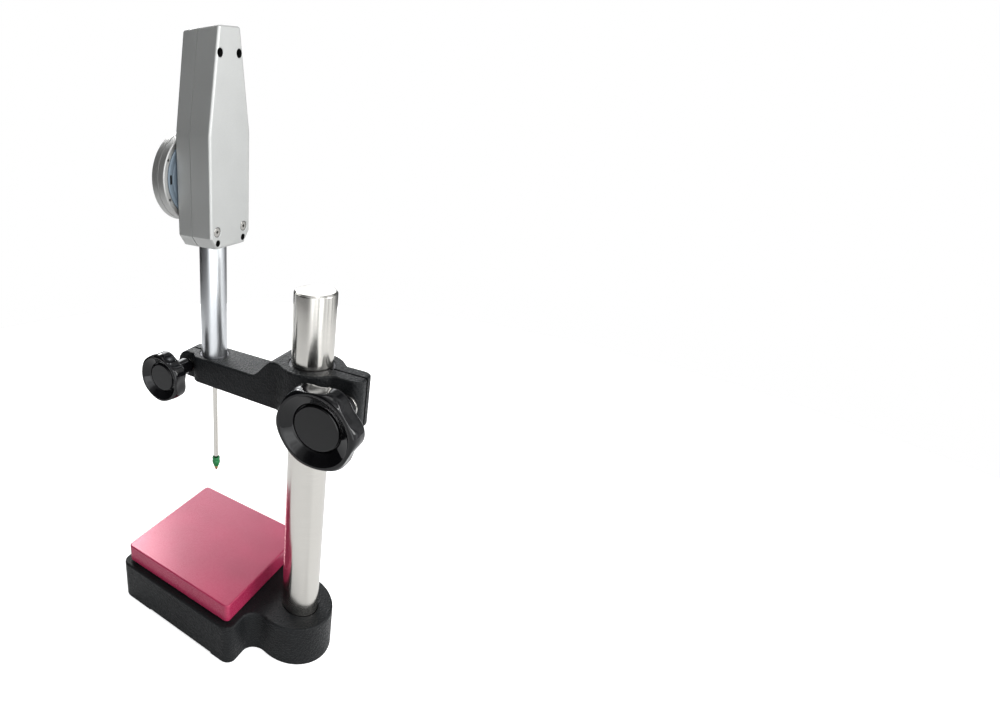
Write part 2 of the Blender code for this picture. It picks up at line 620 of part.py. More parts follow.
def build_housing(mats, gauge):
    seam_gap = 0.15 * MM
    front = build_shell("front_shell", HOUSING_SEAM - seam_gap, HOUSING_FRONT,
                        HOUSING_FRONT + HOUSING_WALL, HOUSING_SEAM + MM, mats, gauge)
    opening = cylinder(DIAL_OPENING, HOUSING_FRONT - MM, HOUSING_FRONT + HOUSING_WALL + MM, 28,
                       "Y", (0, 0, DIAL_Z))
    boolean(front, finish_mesh(opening, "dial_opening"))
    taps = join(*[cylinder(1.75 * MM, -8 * MM, MM, 12, "Y", (x, 0, z))
                  for x, z in UPPER_SCREWS + LOWER_SCREWS])
    boolean(front, finish_mesh(taps, "screw_taps"))
    rear = build_shell("rear_shell", HOUSING_SEAM + seam_gap, HOUSING_BACK,
                       HOUSING_SEAM - MM, HOUSING_BACK - HOUSING_WALL, mats, gauge)
    back = HOUSING_BACK + MM
    upper = [along_y([(0, -MM), (1.75 * MM, -MM), (1.75 * MM, 6 * MM), (2.9 * MM, 6 * MM),
                      (2.9 * MM, back), (0, back)], x, z, 16) for x, z in UPPER_SCREWS]
    lower = [along_y([(0, -MM), (1.75 * MM, -MM), (1.75 * MM, 14.6 * MM),
                      (3.6 * MM, 17.2 * MM), (3.6 * MM, back), (0, back)], x, z, 16)
             for x, z in LOWER_SCREWS]
    blind = [along_y([(0, 9 * MM), (2.4 * MM, 9 * MM), (2.4 * MM, back), (0, back)], x, z, 16)
             for x, z in LOWER_HOLES]
    boolean(rear, finish_mesh(join(*upper, *lower, *blind), "screw_ways"))
    for number, (x, z) in enumerate(UPPER_SCREWS, 1):
        deep = along_y([(0, -6.5 * MM), (1.45 * MM, -6.5 * MM), (1.45 * MM, 6.4 * MM),
                        (2.5 * MM, 6.4 * MM), (2.5 * MM, 9.4 * MM), (1.2 * MM, 9.4 * MM),
                        (1.2 * MM, 8 * MM), (0, 8 * MM)], x, z, 12)
        name = f"upper_case_screw_{number}"
        add_object(name, finish_mesh(deep, name), mats["black_steel"], gauge)
    for number, (x, z) in enumerate(LOWER_SCREWS, 1):
        flush = along_y([(0, -6.5 * MM), (1.45 * MM, -6.5 * MM), (1.45 * MM, 15 * MM),
                         (3.2 * MM, 17.25 * MM), (3.2 * MM, 17.7 * MM), (1.5 * MM, 17.8 * MM),
                         (1.3 * MM, 16.4 * MM), (0, 16.4 * MM)], x, z, 14)
        name = f"lower_case_screw_{number}"
        add_object(name, finish_mesh(flush, name), mats["screw_steel"], gauge)


def build_stem(mats, gauge):
    edge = 0.6 * MM
    profile = [(STEM_BORE, ARM_BOTTOM), (STEM_RADIUS - edge, ARM_BOTTOM),
               (STEM_RADIUS, ARM_BOTTOM + edge), (STEM_RADIUS, STEM_TOP), (STEM_BORE, STEM_TOP)]
    sleeve = lathe(profile, 40, closed=True)
    add_object("stem_sleeve", finish_mesh(sleeve, "stem_sleeve"), mats["satin_chrome"], gauge)
    for name, low, high in (("lower_spindle_bush", ARM_BOTTOM + 0.5 * MM, ARM_BOTTOM + 14 * MM),
                            ("upper_spindle_bush", STEM_TOP - 14 * MM, STEM_TOP - 0.5 * MM)):
        bush = tube(SPINDLE_RADIUS + RUN, STEM_BORE - GAP, low, high, 24)
        add_object(name, finish_mesh(bush, name), mats["brass"], gauge)


# ---------------------------------------------------------------- spindle

def build_spindle(mats, spindle):
    rack_low, rack_high = PINION_Z - TRAVEL - 2 * MM, PINION_Z + 4 * MM
    rod = add_object("spindle", finish_mesh(
        lathe([(0, HOLDER_TOP - 5 * MM), (1.2 * MM, HOLDER_TOP - 5 * MM),
               (1.2 * MM, HOLDER_TOP + GAP), (SPINDLE_RADIUS - 0.3 * MM, HOLDER_TOP + GAP),
               (SPINDLE_RADIUS, HOLDER_TOP + 0.7 * MM), (SPINDLE_RADIUS, SPINDLE_TOP),
               (0, SPINDLE_TOP)], 20), "spindle"), mats["satin_chrome"], spindle)
    seat = box((-3 * MM, -3 * MM, rack_low - GAP), (-0.7 * MM, 3 * MM, rack_high + GAP))
    boolean(rod, finish_mesh(seat, "rack_seat"))
    teeth = int((rack_high - rack_low) / RACK_PITCH)
    tip_x, root_x, back_x = -1.88 * MM, -1.5 * MM, -1.05 * MM
    outline = [(back_x, rack_low), (back_x, rack_low + teeth * RACK_PITCH)]
    for i in reversed(range(teeth)):
        z = rack_low + i * RACK_PITCH
        outline += [(root_x, z + RACK_PITCH), (tip_x, z + 0.5 * RACK_PITCH)]
    outline.append((root_x, rack_low))
    rack = prism(outline, -0.6 * MM, 0.6 * MM, "XZ")
    add_object("spindle_rack", finish_mesh(rack, "spindle_rack"), mats["screw_steel"], spindle)

    arm_low, arm_high = 408 * MM, 413 * MM
    half = 10.5 * MM
    outline = [(-half, 5.8 * MM), (-3.4 * MM, 4 * MM), (-3.4 * MM, -2.7 * MM), (3.4 * MM, -2.7 * MM),
               (3.4 * MM, 4 * MM), (half, 5.8 * MM), (half, 10.2 * MM), (-half, 10.2 * MM)]
    guide = add_object("guide_arm", finish_mesh(prism(outline, arm_low, arm_high), "guide_arm"),
                       mats["brass"], spindle)
    clear = join(cylinder(SPINDLE_RADIUS + 0.3 * MM, arm_low - MM, arm_high + MM, 20),
                 cylinder(1.25 * MM + RUN, arm_low - MM, arm_high + MM, 14,
                          centre=(-8 * MM, 8 * MM, 0)))
    boolean(guide, finish_mesh(clear, "guide_holes"))

    holder = lathe([(1.5 * MM, HOLDER_TOP - 0.4 * MM), (2.7 * MM, HOLDER_TOP),
                    (3.4 * MM, HOLDER_TOP - 0.7 * MM), (3.55 * MM, HOLDER_TOP - 5 * MM),
                    (2.2 * MM, HOLDER_BOTTOM), (1.5 * MM, HOLDER_BOTTOM)], 20, closed=True)
    add_object("contact_holder", finish_mesh(holder, "contact_holder"), mats["contact_green"], spindle)
    tip = lathe([(0, TIP_Z), (0.5 * MM, TIP_Z + 0.15 * MM), (0.75 * MM, TIP_Z + 0.6 * MM),
                 (1.85 * MM, HOLDER_BOTTOM - 0.9 * MM), (1.85 * MM, HOLDER_BOTTOM - GAP),
                 (1.15 * MM, HOLDER_BOTTOM - GAP), (1.15 * MM, HOLDER_TOP - 5.4 * MM),
                 (0, HOLDER_TOP - 5.4 * MM)], 20)
    add_object("contact_tip", finish_mesh(tip, "contact_tip"), mats["brass"], spindle)


def build_return_spring(mats, gauge):
    """Extension spring between a pin in the housing and the guide arm."""
    low, high = 363.6 * MM, 407.6 * MM
    turns, steps, coil, wire, sides = 11, 6, 1.9 * MM, 0.3 * MM, 4
    bm = bmesh.new()
    rings = []
    count = turns * steps
    for k in range(count + 1):
        a = 2 * math.pi * k / steps
        z = low + wire + (high - low - 2 * wire) * k / count
        centre = Vector((8 * MM + coil * math.cos(a), 8 * MM + coil * math.sin(a), z))
        out = Vector((math.cos(a), math.sin(a), 0))
        ring = []
        for i in range(sides):
            b = 2 * math.pi * i / sides
            ring.append(bm.verts.new(centre + out * wire * math.cos(b)
                                     + Vector((0, 0, wire * math.sin(b)))))
        rings.append(ring)
    for a, b in zip(rings, rings[1:]):
        for i in range(sides):
            j = (i + 1) % sides
            bm.faces.new((a[i], a[j], b[j], b[i]))
    bm.faces.new(rings[0])
    bm.faces.new(rings[-1])
    add_object("return_spring", finish_mesh(bm, "return_spring"), mats["screw_steel"], gauge)
    pin = cylinder(0.9 * MM, 4.5 * MM, HOUSING_BACK - HOUSING_WALL - GAP, 12, "Y",
                   (8 * MM, 0, 362.2 * MM))
    add_object("spring_pin", finish_mesh(pin, "spring_pin"), mats["screw_steel"], gauge)
    rod = cylinder(1.25 * MM, CAVITY_BOTTOM + GAP, CAVITY_TOP - GAP, 14,
                   centre=(-8 * MM, 8 * MM, 0), edge=0.2 * MM)
    add_object("guide_rod", finish_mesh(rod, "guide_rod"), mats["screw_steel"], gauge)


# ---------------------------------------------------------------- movement

PLATE_POSTS = [(sx * 13 * MM, z) for sx in (-1, 1) for z in (370 * MM, 405 * MM)]


def pierced_plate(name, low_y, high_y, holes, mats, gauge):
    outline = rounded_rectangle(16 * MM, 20.5 * MM, 3 * MM, 3, (0, 387.5 * MM))
    plate = add_object(name, finish_mesh(prism(outline, low_y, high_y, "XZ"), name),
                       mats["brass"], gauge)
    cuts = join(*[cylinder(r, low_y - MM, high_y + MM, 12, "Y", (x, 0, z)) for x, z, r in holes])
    boolean(plate, finish_mesh(cuts, name + "_holes"))
    return plate


def build_movement_frame(mats, gauge):
    arbors = [(0, DIAL_Z, 0.6 * MM + RUN), (0, COUNTER_Z, ARBOR + RUN),
              (PINION_X, PINION_Z, ARBOR + RUN)]
    screws = [(x, z, 1.3 * MM) for x, z in PLATE_POSTS]
    pierced_plate("movement_front_plate", -12.2 * MM, -11.2 * MM, arbors + screws, mats, gauge)
    rear = pierced_plate("movement_rear_plate", -4.4 * MM, -3.3 * MM, arbors, mats, gauge)
    pillars = join(*[along_y([(0, -12.5 * MM), (1 * MM, -12.5 * MM), (1 * MM, -10.85 * MM),
                              (2 * MM, -10.85 * MM), (2 * MM, -3.9 * MM), (0, -3.9 * MM)], x, z, 12)
                     for x, z in PLATE_POSTS])
    boolean(rear, finish_mesh(pillars, "pillars"), "UNION")
    # Bridge behind the rack that carries the rear end of the pinion's arbor
    outline = [(-13 * MM, PINION_Z - 2.5 * MM), (13 * MM, PINION_Z - 2.5 * MM),
               (13 * MM, PINION_Z + 2.5 * MM), (-13 * MM, PINION_Z + 2.5 * MM)]
    bridge = add_object("pinion_bridge", finish_mesh(prism(outline, 2.9 * MM, 4.1 * MM, "XZ"),
                                                     "pinion_bridge"), mats["brass"], gauge)
    hole = cylinder(ARBOR + RUN, 2 * MM, 5 * MM, 16, "Y", (PINION_X, 0, PINION_Z))
    boolean(bridge, finish_mesh(hole, "bridge_hole"))
    legs = join(*[cylinder(1.8 * MM, -2.9 * MM, 3.5 * MM, 14, "Y", (sx * 11 * MM, 0, PINION_Z))
                  for sx in (-1, 1)])
    boolean(bridge, finish_mesh(legs, "bridge_legs"), "UNION")


def build_hairspring(mats, gauge):
    """Flat spiral that takes the backlash out of the train."""
    turns, steps, inner, outer = 4, 10, 1.1 * MM, 4.2 * MM
    half_thick = 0.09 * MM
    count = turns * steps
    left, right = [], []
    for k in range(count + 1):
        a = 2 * math.pi * k / steps
        r = inner + (outer - inner) * k / count
        for points, radius in ((left, r - half_thick), (right, r + half_thick)):
            points.append((radius * math.cos(a), COUNTER_Z + radius * math.sin(a)))
    spiral = prism(left + right[::-1], -6.6 * MM, -5.8 * MM, "XZ")
    add_object("hairspring", finish_mesh(spiral, "hairspring"), mats["screw_steel"], gauge)


def build_train(mats, drive, centre, counter):
    origin = (PINION_X, 0, PINION_Z)
    pinion_points = gear_outline(PINION_X, PINION_Z, 1.45 * MM, 0.4 * MM, 16)
    pinion = add_object("rack_pinion", finish_mesh(prism(pinion_points, -2.1 * MM, 2.1 * MM, "XZ"),
                                                   "rack_pinion"), mats["screw_steel"], drive, origin)
    tail = along_y([(0, 1.5 * MM), (ARBOR, 1.5 * MM), (ARBOR, 4.5 * MM), (0, 4.5 * MM)],
                   PINION_X, PINION_Z, 12)
    boolean(pinion, finish_mesh(tail, "pinion_tail"), "UNION")
    nose = along_y([(0, -11.9 * MM), (ARBOR, -11.9 * MM), (ARBOR, -1.5 * MM), (0, -1.5 * MM)],
                   PINION_X, PINION_Z, 12)
    boolean(pinion, finish_mesh(nose, "pinion_nose"), "UNION")
    wheel_points = gear_outline(PINION_X, PINION_Z, WHEEL_PITCH_RADIUS - 0.08 * MM, 0.5 * MM,
                                WHEEL_TEETH)
    wheel = add_object("drive_wheel", finish_mesh(prism(wheel_points, -7.6 * MM, -6.95 * MM, "XZ"),
                                                  "drive_wheel"), mats["brass"], drive, origin)
    hub = cylinder(ARBOR + 0.3 * MM, -9 * MM, -6 * MM, 16, "Y", (PINION_X, 0, PINION_Z))
    boolean(wheel, finish_mesh(hub, "drive_wheel_bore"))

    origin = (0, 0, DIAL_Z)
    points = gear_outline(0, DIAL_Z, CENTRE_PITCH_RADIUS - 0.08 * MM, 0.3 * MM, CENTRE_TEETH)
    staff = add_object("centre_pinion", finish_mesh(prism(points, -10.2 * MM, -6.4 * MM, "XZ"),
                                                    "centre_pinion"), mats["screw_steel"], centre, origin)
    rear_pivot = along_y([(0, -7 * MM), (0.6 * MM, -7 * MM), (0.6 * MM, -3 * MM), (0, -3 * MM)],
                         0, DIAL_Z, 14)
    boolean(staff, finish_mesh(rear_pivot, "centre_rear_pivot"), "UNION")
    front_staff = along_y([(0, -28.75 * MM), (0.6 * MM, -28.75 * MM), (0.6 * MM, -9.5 * MM),
                           (0, -9.5 * MM)], 0, DIAL_Z, 14)
    boolean(staff, finish_mesh(front_staff, "centre_staff"), "UNION")
    pointer_outline = [(-0.9 * MM, DIAL_Z - 7.5 * MM), (0.9 * MM, DIAL_Z - 7.5 * MM),
                       (1.6 * MM, DIAL_Z - 1.4 * MM), (2.1 * MM, DIAL_Z), (1.4 * MM, DIAL_Z + 1.6 * MM),
                       (0.12 * MM, DIAL_Z + 25.5 * MM), (-0.12 * MM, DIAL_Z + 25.5 * MM),
                       (-1.4 * MM, DIAL_Z + 1.6 * MM), (-2.1 * MM, DIAL_Z), (-1.6 * MM, DIAL_Z - 1.4 * MM)]
    pointer = add_object("pointer", finish_mesh(prism(pointer_outline, -28.6 * MM, -28.2 * MM, "XZ"),
                                                "pointer"), mats["pointer_black"], centre, origin)
    eye = cylinder(0.9 * MM, -30 * MM, -27 * MM, 16, "Y", (0, 0, DIAL_Z))
    boolean(pointer, finish_mesh(eye, "pointer_eye"))

    origin = (0, 0, COUNTER_Z)
    points = gear_outline(0, COUNTER_Z, WHEEL_PITCH_RADIUS - 0.08 * MM, 0.5 * MM, WHEEL_TEETH)
    wheel = add_object("counter_wheel", finish_mesh(prism(points, -9.7 * MM, -9.05 * MM, "XZ"),
                                                    "counter_wheel"), mats["brass"], counter, origin)
    staff = along_y([(0, -28 * MM), (ARBOR, -28 * MM), (ARBOR, -3 * MM), (0, -3 * MM)], 0, COUNTER_Z, 12)
    boolean(wheel, finish_mesh(staff, "counter_staff"), "UNION")
    hand_outline = [(-0.5 * MM, COUNTER_Z - 2 * MM), (0.5 * MM, COUNTER_Z - 2 * MM),
                    (1.1 * MM, COUNTER_Z), (0.1 * MM, COUNTER_Z + 5 * MM),
                    (-0.1 * MM, COUNTER_Z + 5 * MM), (-1.1 * MM, COUNTER_Z)]
    hand = add_object("counter_hand", finish_mesh(prism(hand_outline, -27.7 * MM, -27.4 * MM, "XZ"),
                                                  "counter_hand"), mats["pointer_black"], counter, origin)
    eye = cylinder(ARBOR + 0.25 * MM, -29 * MM, -26 * MM, 14, "Y", (0, 0, COUNTER_Z))
    boolean(hand, finish_mesh(eye, "hand_eye"))


# ---------------------------------------------------------------- dial

def build_dial(mats, gauge, bezel):
    centre = (0, 0, DIAL_Z)
    hub = tube(DIAL_OPENING, DIAL_OPENING + 2.5 * MM, DIAL_BACK + GAP, HOUSING_FRONT - GAP, 28,
               "Y", centre)
    add_object("dial_hub", finish_mesh(hub, "dial_hub"), mats["screw_steel"], gauge)

    wall = 2 * MM
    floor = DIAL_BACK - 2.4 * MM
    case_profile = [(DIAL_OPENING, DIAL_BACK - 0.9 * MM), (29.2 * MM, DIAL_BACK - 0.9 * MM),
                    (29.2 * MM, DIAL_BACK), (DIAL_RADIUS - 1.2 * MM, DIAL_BACK),
                    (DIAL_RADIUS, DIAL_BACK - 1.2 * MM), (DIAL_RADIUS, DIAL_SPLIT + 0.2 * MM),
                    (DIAL_RADIUS - wall, DIAL_SPLIT + 0.2 * MM), (DIAL_RADIUS - wall, floor),
                    (DIAL_OPENING, floor)]
    case = add_object("dial_case", finish_mesh(lathe(case_profile, 40, "Y", centre, closed=True),
                                               "dial_case"), mats["satin_chrome"], gauge)
    case_screws = [(sx * 27.5 * MM, DIAL_Z + sz * 14 * MM) for sx in (-1, 1) for sz in (-1, 1)]
    ways = join(*[cylinder(0.95 * MM, floor - MM, DIAL_BACK + MM, 10, "Y", (x, 0, z))
                  for x, z in case_screws])
    boolean(case, finish_mesh(ways, "case_screw_ways"))
    for number, (x, z) in enumerate(case_screws, 1):
        pin = cylinder(0.65 * MM, floor + 0.2 * MM, DIAL_BACK - 0.4 * MM, 10, "Y", (x, 0, z))
        name = f"dial_case_screw_{number}"
        add_object(name, finish_mesh(pin, name), mats["black_steel"], gauge)

    cover_profile = [(DIAL_OPENING + 3 * MM, DIAL_BACK - 0.55 * MM), (28.8 * MM, DIAL_BACK - 0.55 * MM),
                     (28.8 * MM, DIAL_BACK + 0.5 * MM), (28.2 * MM, DIAL_BACK + 0.9 * MM),
                     (DIAL_OPENING + 3 * MM, DIAL_BACK + 0.9 * MM)]
    cover = add_object("dial_rear_cover", finish_mesh(lathe(cover_profile, 32, "Y", centre, closed=True),
                                                      "dial_rear_cover"), mats["cover_grey"], gauge)
    slots = join(*[box((sx * 26.2 * MM - 1.2 * MM, DIAL_BACK - 3 * MM, DIAL_Z - 3 * MM),
                       (sx * 26.2 * MM + 1.2 * MM, DIAL_BACK + 3 * MM, DIAL_Z + 3.6 * MM))
                   for sx in (-1, 1)])
    boolean(cover, finish_mesh(slots, "cover_slots"))

    disc_profile = [(0, -26.4 * MM), (CENTRE_DISC, -26.4 * MM), (CENTRE_DISC, -27 * MM), (0, -27 * MM)]
    disc = add_object("dial_centre", finish_mesh(lathe(disc_profile, 28, "Y", centre), "dial_centre"),
                      mats["dial_white"], gauge)
    eyes = join(cylinder(0.9 * MM, -28 * MM, -25 * MM, 14, "Y", (0, 0, DIAL_Z)),
                cylinder(0.8 * MM, -28 * MM, -25 * MM, 14, "Y", (0, 0, COUNTER_Z)))
    boolean(disc, finish_mesh(eyes, "dial_centre_eyes"))
    foot_places = [(CENTRE_DISC - 2.2 * MM) * math.sqrt(0.5) * s for s in (-1, 1)]
    feet = join(*[cylinder(0.9 * MM, -26.7 * MM, floor - GAP, 10, "Y", (x, 0, DIAL_Z + z))
                  for x in foot_places for z in foot_places])
    boolean(disc, finish_mesh(feet, "dial_feet"), "UNION")

    ring = lathe([(CENTRE_DISC + 0.4 * MM, -26.4 * MM), (FACE_RADIUS, -26.4 * MM),
                  (FACE_RADIUS, -27 * MM), (CENTRE_DISC + 0.4 * MM, -27 * MM)], 32, "Y", centre,
                 closed=True)
    add_object("dial_scale_ring", finish_mesh(ring, "dial_scale_ring"), mats["dial_white"], bezel, centre)

    inner = FACE_RADIUS + 0.35 * MM
    bezel_profile = [(inner - 2.2 * MM, DIAL_FRONT), (DIAL_RADIUS - 1.6 * MM, DIAL_FRONT),
                     (DIAL_RADIUS, DIAL_FRONT + 1.8 * MM), (DIAL_RADIUS, DIAL_SPLIT - 0.2 * MM),
                     (inner, DIAL_SPLIT - 0.2 * MM), (inner, -25.4 * MM),
                     (inner - 1.2 * MM, -25.4 * MM), (inner - 1.2 * MM, -26.05 * MM),
                     (inner, -26.05 * MM), (inner, DIAL_FRONT + 1.1 * MM),
                     (inner - 2.2 * MM, DIAL_FRONT + 1.1 * MM)]
    bezel_ring = lathe(bezel_profile, 40, "Y", centre, closed=True)
    add_object("bezel_ring", finish_mesh(bezel_ring, "bezel_ring"), mats["satin_chrome"], bezel, centre)
    glass = cylinder(FACE_RADIUS - 0.1 * MM, CRYSTAL_FRONT, CRYSTAL_BACK, 36, "Y", centre)
    add_object("crystal", finish_mesh(glass, "crystal"), mats["crystal"], bezel, centre)
    seal = tube(DIAL_RADIUS - wall - 1.3 * MM, DIAL_RADIUS - wall - 0.35 * MM,
                DIAL_SPLIT + 0.2 * MM, DIAL_SPLIT + 1.4 * MM, 28, "Y", centre)
    add_object("bezel_friction_ring", finish_mesh(seal, "bezel_friction_ring"), mats["rubber"], gauge)


# ---------------------------------------------------------------- assembly

def empty(name, location, parent=None, yaw=0.0):
    obj = bpy.data.objects.new(name, None)
    bpy.context.collection.objects.link(obj)
    obj.location = location
    obj.rotation_euler = (0, 0, yaw)
    obj.parent = parent
    return obj


def main():
    clear_scene()
    mats = make_materials()
    stand = empty("column_axis", (0, COLUMN_Y, 0))
    build_base(mats, stand)
    build_plate(mats, stand)
    build_column(mats, stand)
    build_split_bush("column_bush", COLUMN_RADIUS, ARM_BOTTOM + 0.3 * MM, CLAMP_TOP - 0.3 * MM,
                     48, 1, mats, stand, (0, 0, 0))
    arm = empty("arm_axis", (0, 0, 0), stand)
    build_arm(mats, arm)
    build_split_bush("stem_bush", STEM_RADIUS, ARM_BOTTOM + 0.3 * MM, ARM_TOP + 0.3 * MM,
                     40, -1, mats, arm, (0, -ARM_REACH, 0))
    build_clamp("column_clamp", REAR_CLAMP_Y, REAR_CLAMP_Z, REAR_STUD_RADIUS, REAR_KNOB_RADIUS,
                REAR_KNOB_FACE, REAR_KNOB_CREST, mats, arm)
    build_clamp("stem_clamp", FRONT_CLAMP_Y, FRONT_CLAMP_Z, FRONT_STUD_RADIUS, FRONT_KNOB_RADIUS,
                FRONT_KNOB_FACE, FRONT_KNOB_CREST, mats, arm)
    gauge = empty("gauge_axis", (0, -ARM_REACH, 0), arm, GAUGE_YAW)
    build_housing(mats, gauge)
    build_stem(mats, gauge)
    build_spindle(mats, gauge)
    build_return_spring(mats, gauge)
    build_movement_frame(mats, gauge)
    build_hairspring(mats, gauge)
    build_train(mats, gauge, gauge, gauge)
    build_dial(mats, gauge, gauge)


main()
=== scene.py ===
import json
import math

import bmesh
import bpy
from bpy.props import FloatProperty, FloatVectorProperty, IntProperty, PointerProperty
from mathutils import Matrix, Vector


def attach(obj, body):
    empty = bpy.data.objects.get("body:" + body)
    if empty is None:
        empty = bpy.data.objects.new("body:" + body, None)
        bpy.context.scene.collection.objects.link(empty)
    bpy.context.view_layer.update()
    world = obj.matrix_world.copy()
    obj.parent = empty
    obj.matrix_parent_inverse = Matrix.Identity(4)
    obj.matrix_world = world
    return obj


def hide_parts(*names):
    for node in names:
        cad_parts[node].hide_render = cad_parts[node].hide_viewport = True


bl_info = {
    "name": "Gauge Stand",
    "version": (1, 0, 0),
    "blender": (4, 5, 0),
    "location": "View3D > Sidebar > Gauge Stand",
    "description": "Builds the visible pieces of a comparator stand with a long-travel dial gauge",
    "category": "Add Mesh",
}

MM = 0.001
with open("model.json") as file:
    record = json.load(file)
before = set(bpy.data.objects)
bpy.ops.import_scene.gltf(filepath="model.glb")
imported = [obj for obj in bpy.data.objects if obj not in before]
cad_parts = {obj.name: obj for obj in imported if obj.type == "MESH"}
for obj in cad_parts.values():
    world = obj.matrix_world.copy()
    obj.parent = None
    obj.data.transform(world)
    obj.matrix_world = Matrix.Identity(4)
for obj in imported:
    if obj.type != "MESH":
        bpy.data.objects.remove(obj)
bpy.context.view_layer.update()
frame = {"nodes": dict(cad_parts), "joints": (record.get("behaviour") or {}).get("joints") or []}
CLEARANCE = 0.1 * MM


# ---------------------------------------------------------------- places, read from the frame

def joint(name):
    """The record's entry for one joint."""
    return next(j for j in frame["joints"] if j["name"] == name)


def stand_place():
    """Placement of the stand's own frame, whose z axis is the column's."""
    column = joint("arm_swivel")["pos_m"]
    return Matrix.Translation((column[0], column[1], 0))


def gauge_place():
    """Placement of the gauge's own frame: z up the stem, y towards the back of the housing."""
    stem = Vector(joint("gauge_swivel")["pos_m"])
    dial_axis = Vector(joint("pointer_turn")["axis"])
    yaw = math.atan2(-dial_axis.x, dial_axis.y)
    return Matrix.Translation((stem.x, stem.y, 0)) @ Matrix.Rotation(yaw, 4, "Z")


STAND = stand_place()
GAUGE = gauge_place()
GAUGE_BODIES = ("gauge", "spindle_unit", "bezel", "centre_arbor", "counter_arbor")


def joint_place(name):
    """A joint's position in the stand's own frame."""
    return STAND.inverted() @ Vector(joint(name)["pos_m"])


def points_of(node, place=STAND):
    """Points of a CAD node, in the axes of place."""
    back = place.inverted()
    return [back @ v.co for v in frame["nodes"][node].data.vertices]


def limits(node, place=STAND):
    """Lowest and highest corner of a CAD node, in the axes of place."""
    points = points_of(node, place)
    return (Vector([min(p[i] for p in points) for i in range(3)]),
            Vector([max(p[i] for p in points) for i in range(3)]))


def radius_of(node, axis="Z", at=(0, 0), place=STAND):
    """Largest distance of a CAD node's points from the axis that runs through at."""
    first, second = {"X": (1, 2), "Y": (0, 2), "Z": (0, 1)}[axis]
    return max(math.hypot(p[first] - at[0], p[second] - at[1]) for p in points_of(node, place))


def crest_of(node, y, z):
    """Angle, from +Y towards +Z, at which a clamp knob reaches farthest from its axis."""
    far = max(points_of(node), key=lambda p: math.hypot(p.y - y, p.z - z))
    return math.atan2(far.z - z, far.y - y)


# ---------------------------------------------------------------- mesh work

AXES = {
    "Z": Matrix.Identity(4),
    "X": Matrix.Rotation(math.radians(90), 4, "Y"),
    "Y": Matrix.Rotation(math.radians(-90), 4, "X"),
}
SMOOTH_ANGLE = math.radians(32)


def soften(points, reach, steps=3, closed=False):
    """Round the corners of a path: each corner turns within reach of its point."""
    points = [Vector(p) for p in points]
    count = len(points)
    result = []
    for i, corner in enumerate(points):
        if not closed and i in (0, count - 1):
            result.append(corner)
            continue
        before, after = points[i - 1], points[(i + 1) % count]
        lead_in = min(reach, 0.45 * (before - corner).length)
        lead_out = min(reach, 0.45 * (after - corner).length)
        start = corner + (before - corner).normalized() * lead_in
        end = corner + (after - corner).normalized() * lead_out
        for k in range(steps + 1):
            t = k / steps
            result.append((1 - t) ** 2 * start + 2 * t * (1 - t) * corner + t * t * end)
    return result


def arc(cx, cy, radius, start, end, steps):
    """Points on a circle from start to end, in degrees."""
    points = []
    for i in range(steps + 1):
        a = math.radians(start + (end - start) * i / steps)
        points.append((cx + radius * math.cos(a), cy + radius * math.sin(a)))
    return points


def skin_rings(bm, rings, closed=False, caps=True):
    """Faces between rings of vertices; a ring may be a single vertex."""
    pairs = list(zip(rings, rings[1:]))
    if closed:
        pairs.append((rings[-1], rings[0]))
    for a, b in pairs:
        for i in range(max(len(a), len(b))):
            corners = [a[i % len(a)], a[(i + 1) % len(a)], b[(i + 1) % len(b)], b[i % len(b)]]
            unique = list(dict.fromkeys(corners))
            if len(unique) > 2:
                bm.faces.new(unique)
    if caps and not closed:
        for ring in (rings[0], rings[-1]):
            if len(ring) > 2:
                bm.faces.new(ring)


def lathe(profile, segments, axis="Z", centre=(0, 0, 0), closed=False):
    """Turn a profile of (radius, height) about an axis through centre."""
    bm = bmesh.new()
    rings = []
    for radius, height in profile:
        if radius < 1e-7:
            rings.append([bm.verts.new((0, 0, height))])
            continue
        rings.append([bm.verts.new((radius * math.cos(2 * math.pi * i / segments),
                                    radius * math.sin(2 * math.pi * i / segments), height))
                      for i in range(segments)])
    skin_rings(bm, rings, closed)
    bmesh.ops.transform(bm, matrix=Matrix.Translation(centre) @ AXES[axis], verts=bm.verts)
    return bm


def turned(profile, segments, axis="Z", centre=(0, 0, 0), edge=0.25 * MM, closed=False, steps=2):
    """A turned body whose profile's corners are broken by edge."""
    return lathe(soften(profile, edge, steps, closed), segments, axis, centre, closed)


def tube(inner, outer, low, high):
    """Rectangular profile of a ring, or of a rod or hole when inner is 0."""
    return [(inner, low), (outer, low), (outer, high), (inner, high)]


def stack(outline_at, levels, plane="XY"):
    """Body of rings: outline_at(inset) gives an outline, levels are (height, inset)."""
    put = {"XY": lambda a, b, h: (a, b, h), "XZ": lambda a, b, h: (a, h, b)}[plane]
    bm = bmesh.new()
    rings = [[bm.verts.new(put(a, b, height)) for a, b in outline_at(inset)]
             for height, inset in levels]
    skin_rings(bm, rings)
    return bm


def rounded_levels(low, high, low_edge, high_edge, steps=5):
    """Heights and insets of a body whose two ends have quarter-round edges."""
    levels = [(low + low_edge * (1 - math.cos(math.pi / 2 * k / steps)),
               low_edge * (1 - math.sin(math.pi / 2 * k / steps))) for k in range(steps + 1)]
    levels += [(high - high_edge * (1 - math.sin(math.pi / 2 * k / steps)),
                high_edge * (1 - math.cos(math.pi / 2 * k / steps))) for k in range(steps + 1)]
    return levels


def block(low, high):
    """Plain box, used as a cutter."""
    bm = bmesh.new()
    corners = [(x, y, z) for z in (low[2], high[2])
               for x, y in ((low[0], low[1]), (high[0], low[1]), (high[0], high[1]), (low[0], high[1]))]
    verts = [bm.verts.new(c) for c in corners]
    skin_rings(bm, [verts[:4], verts[4:]])
    return bm


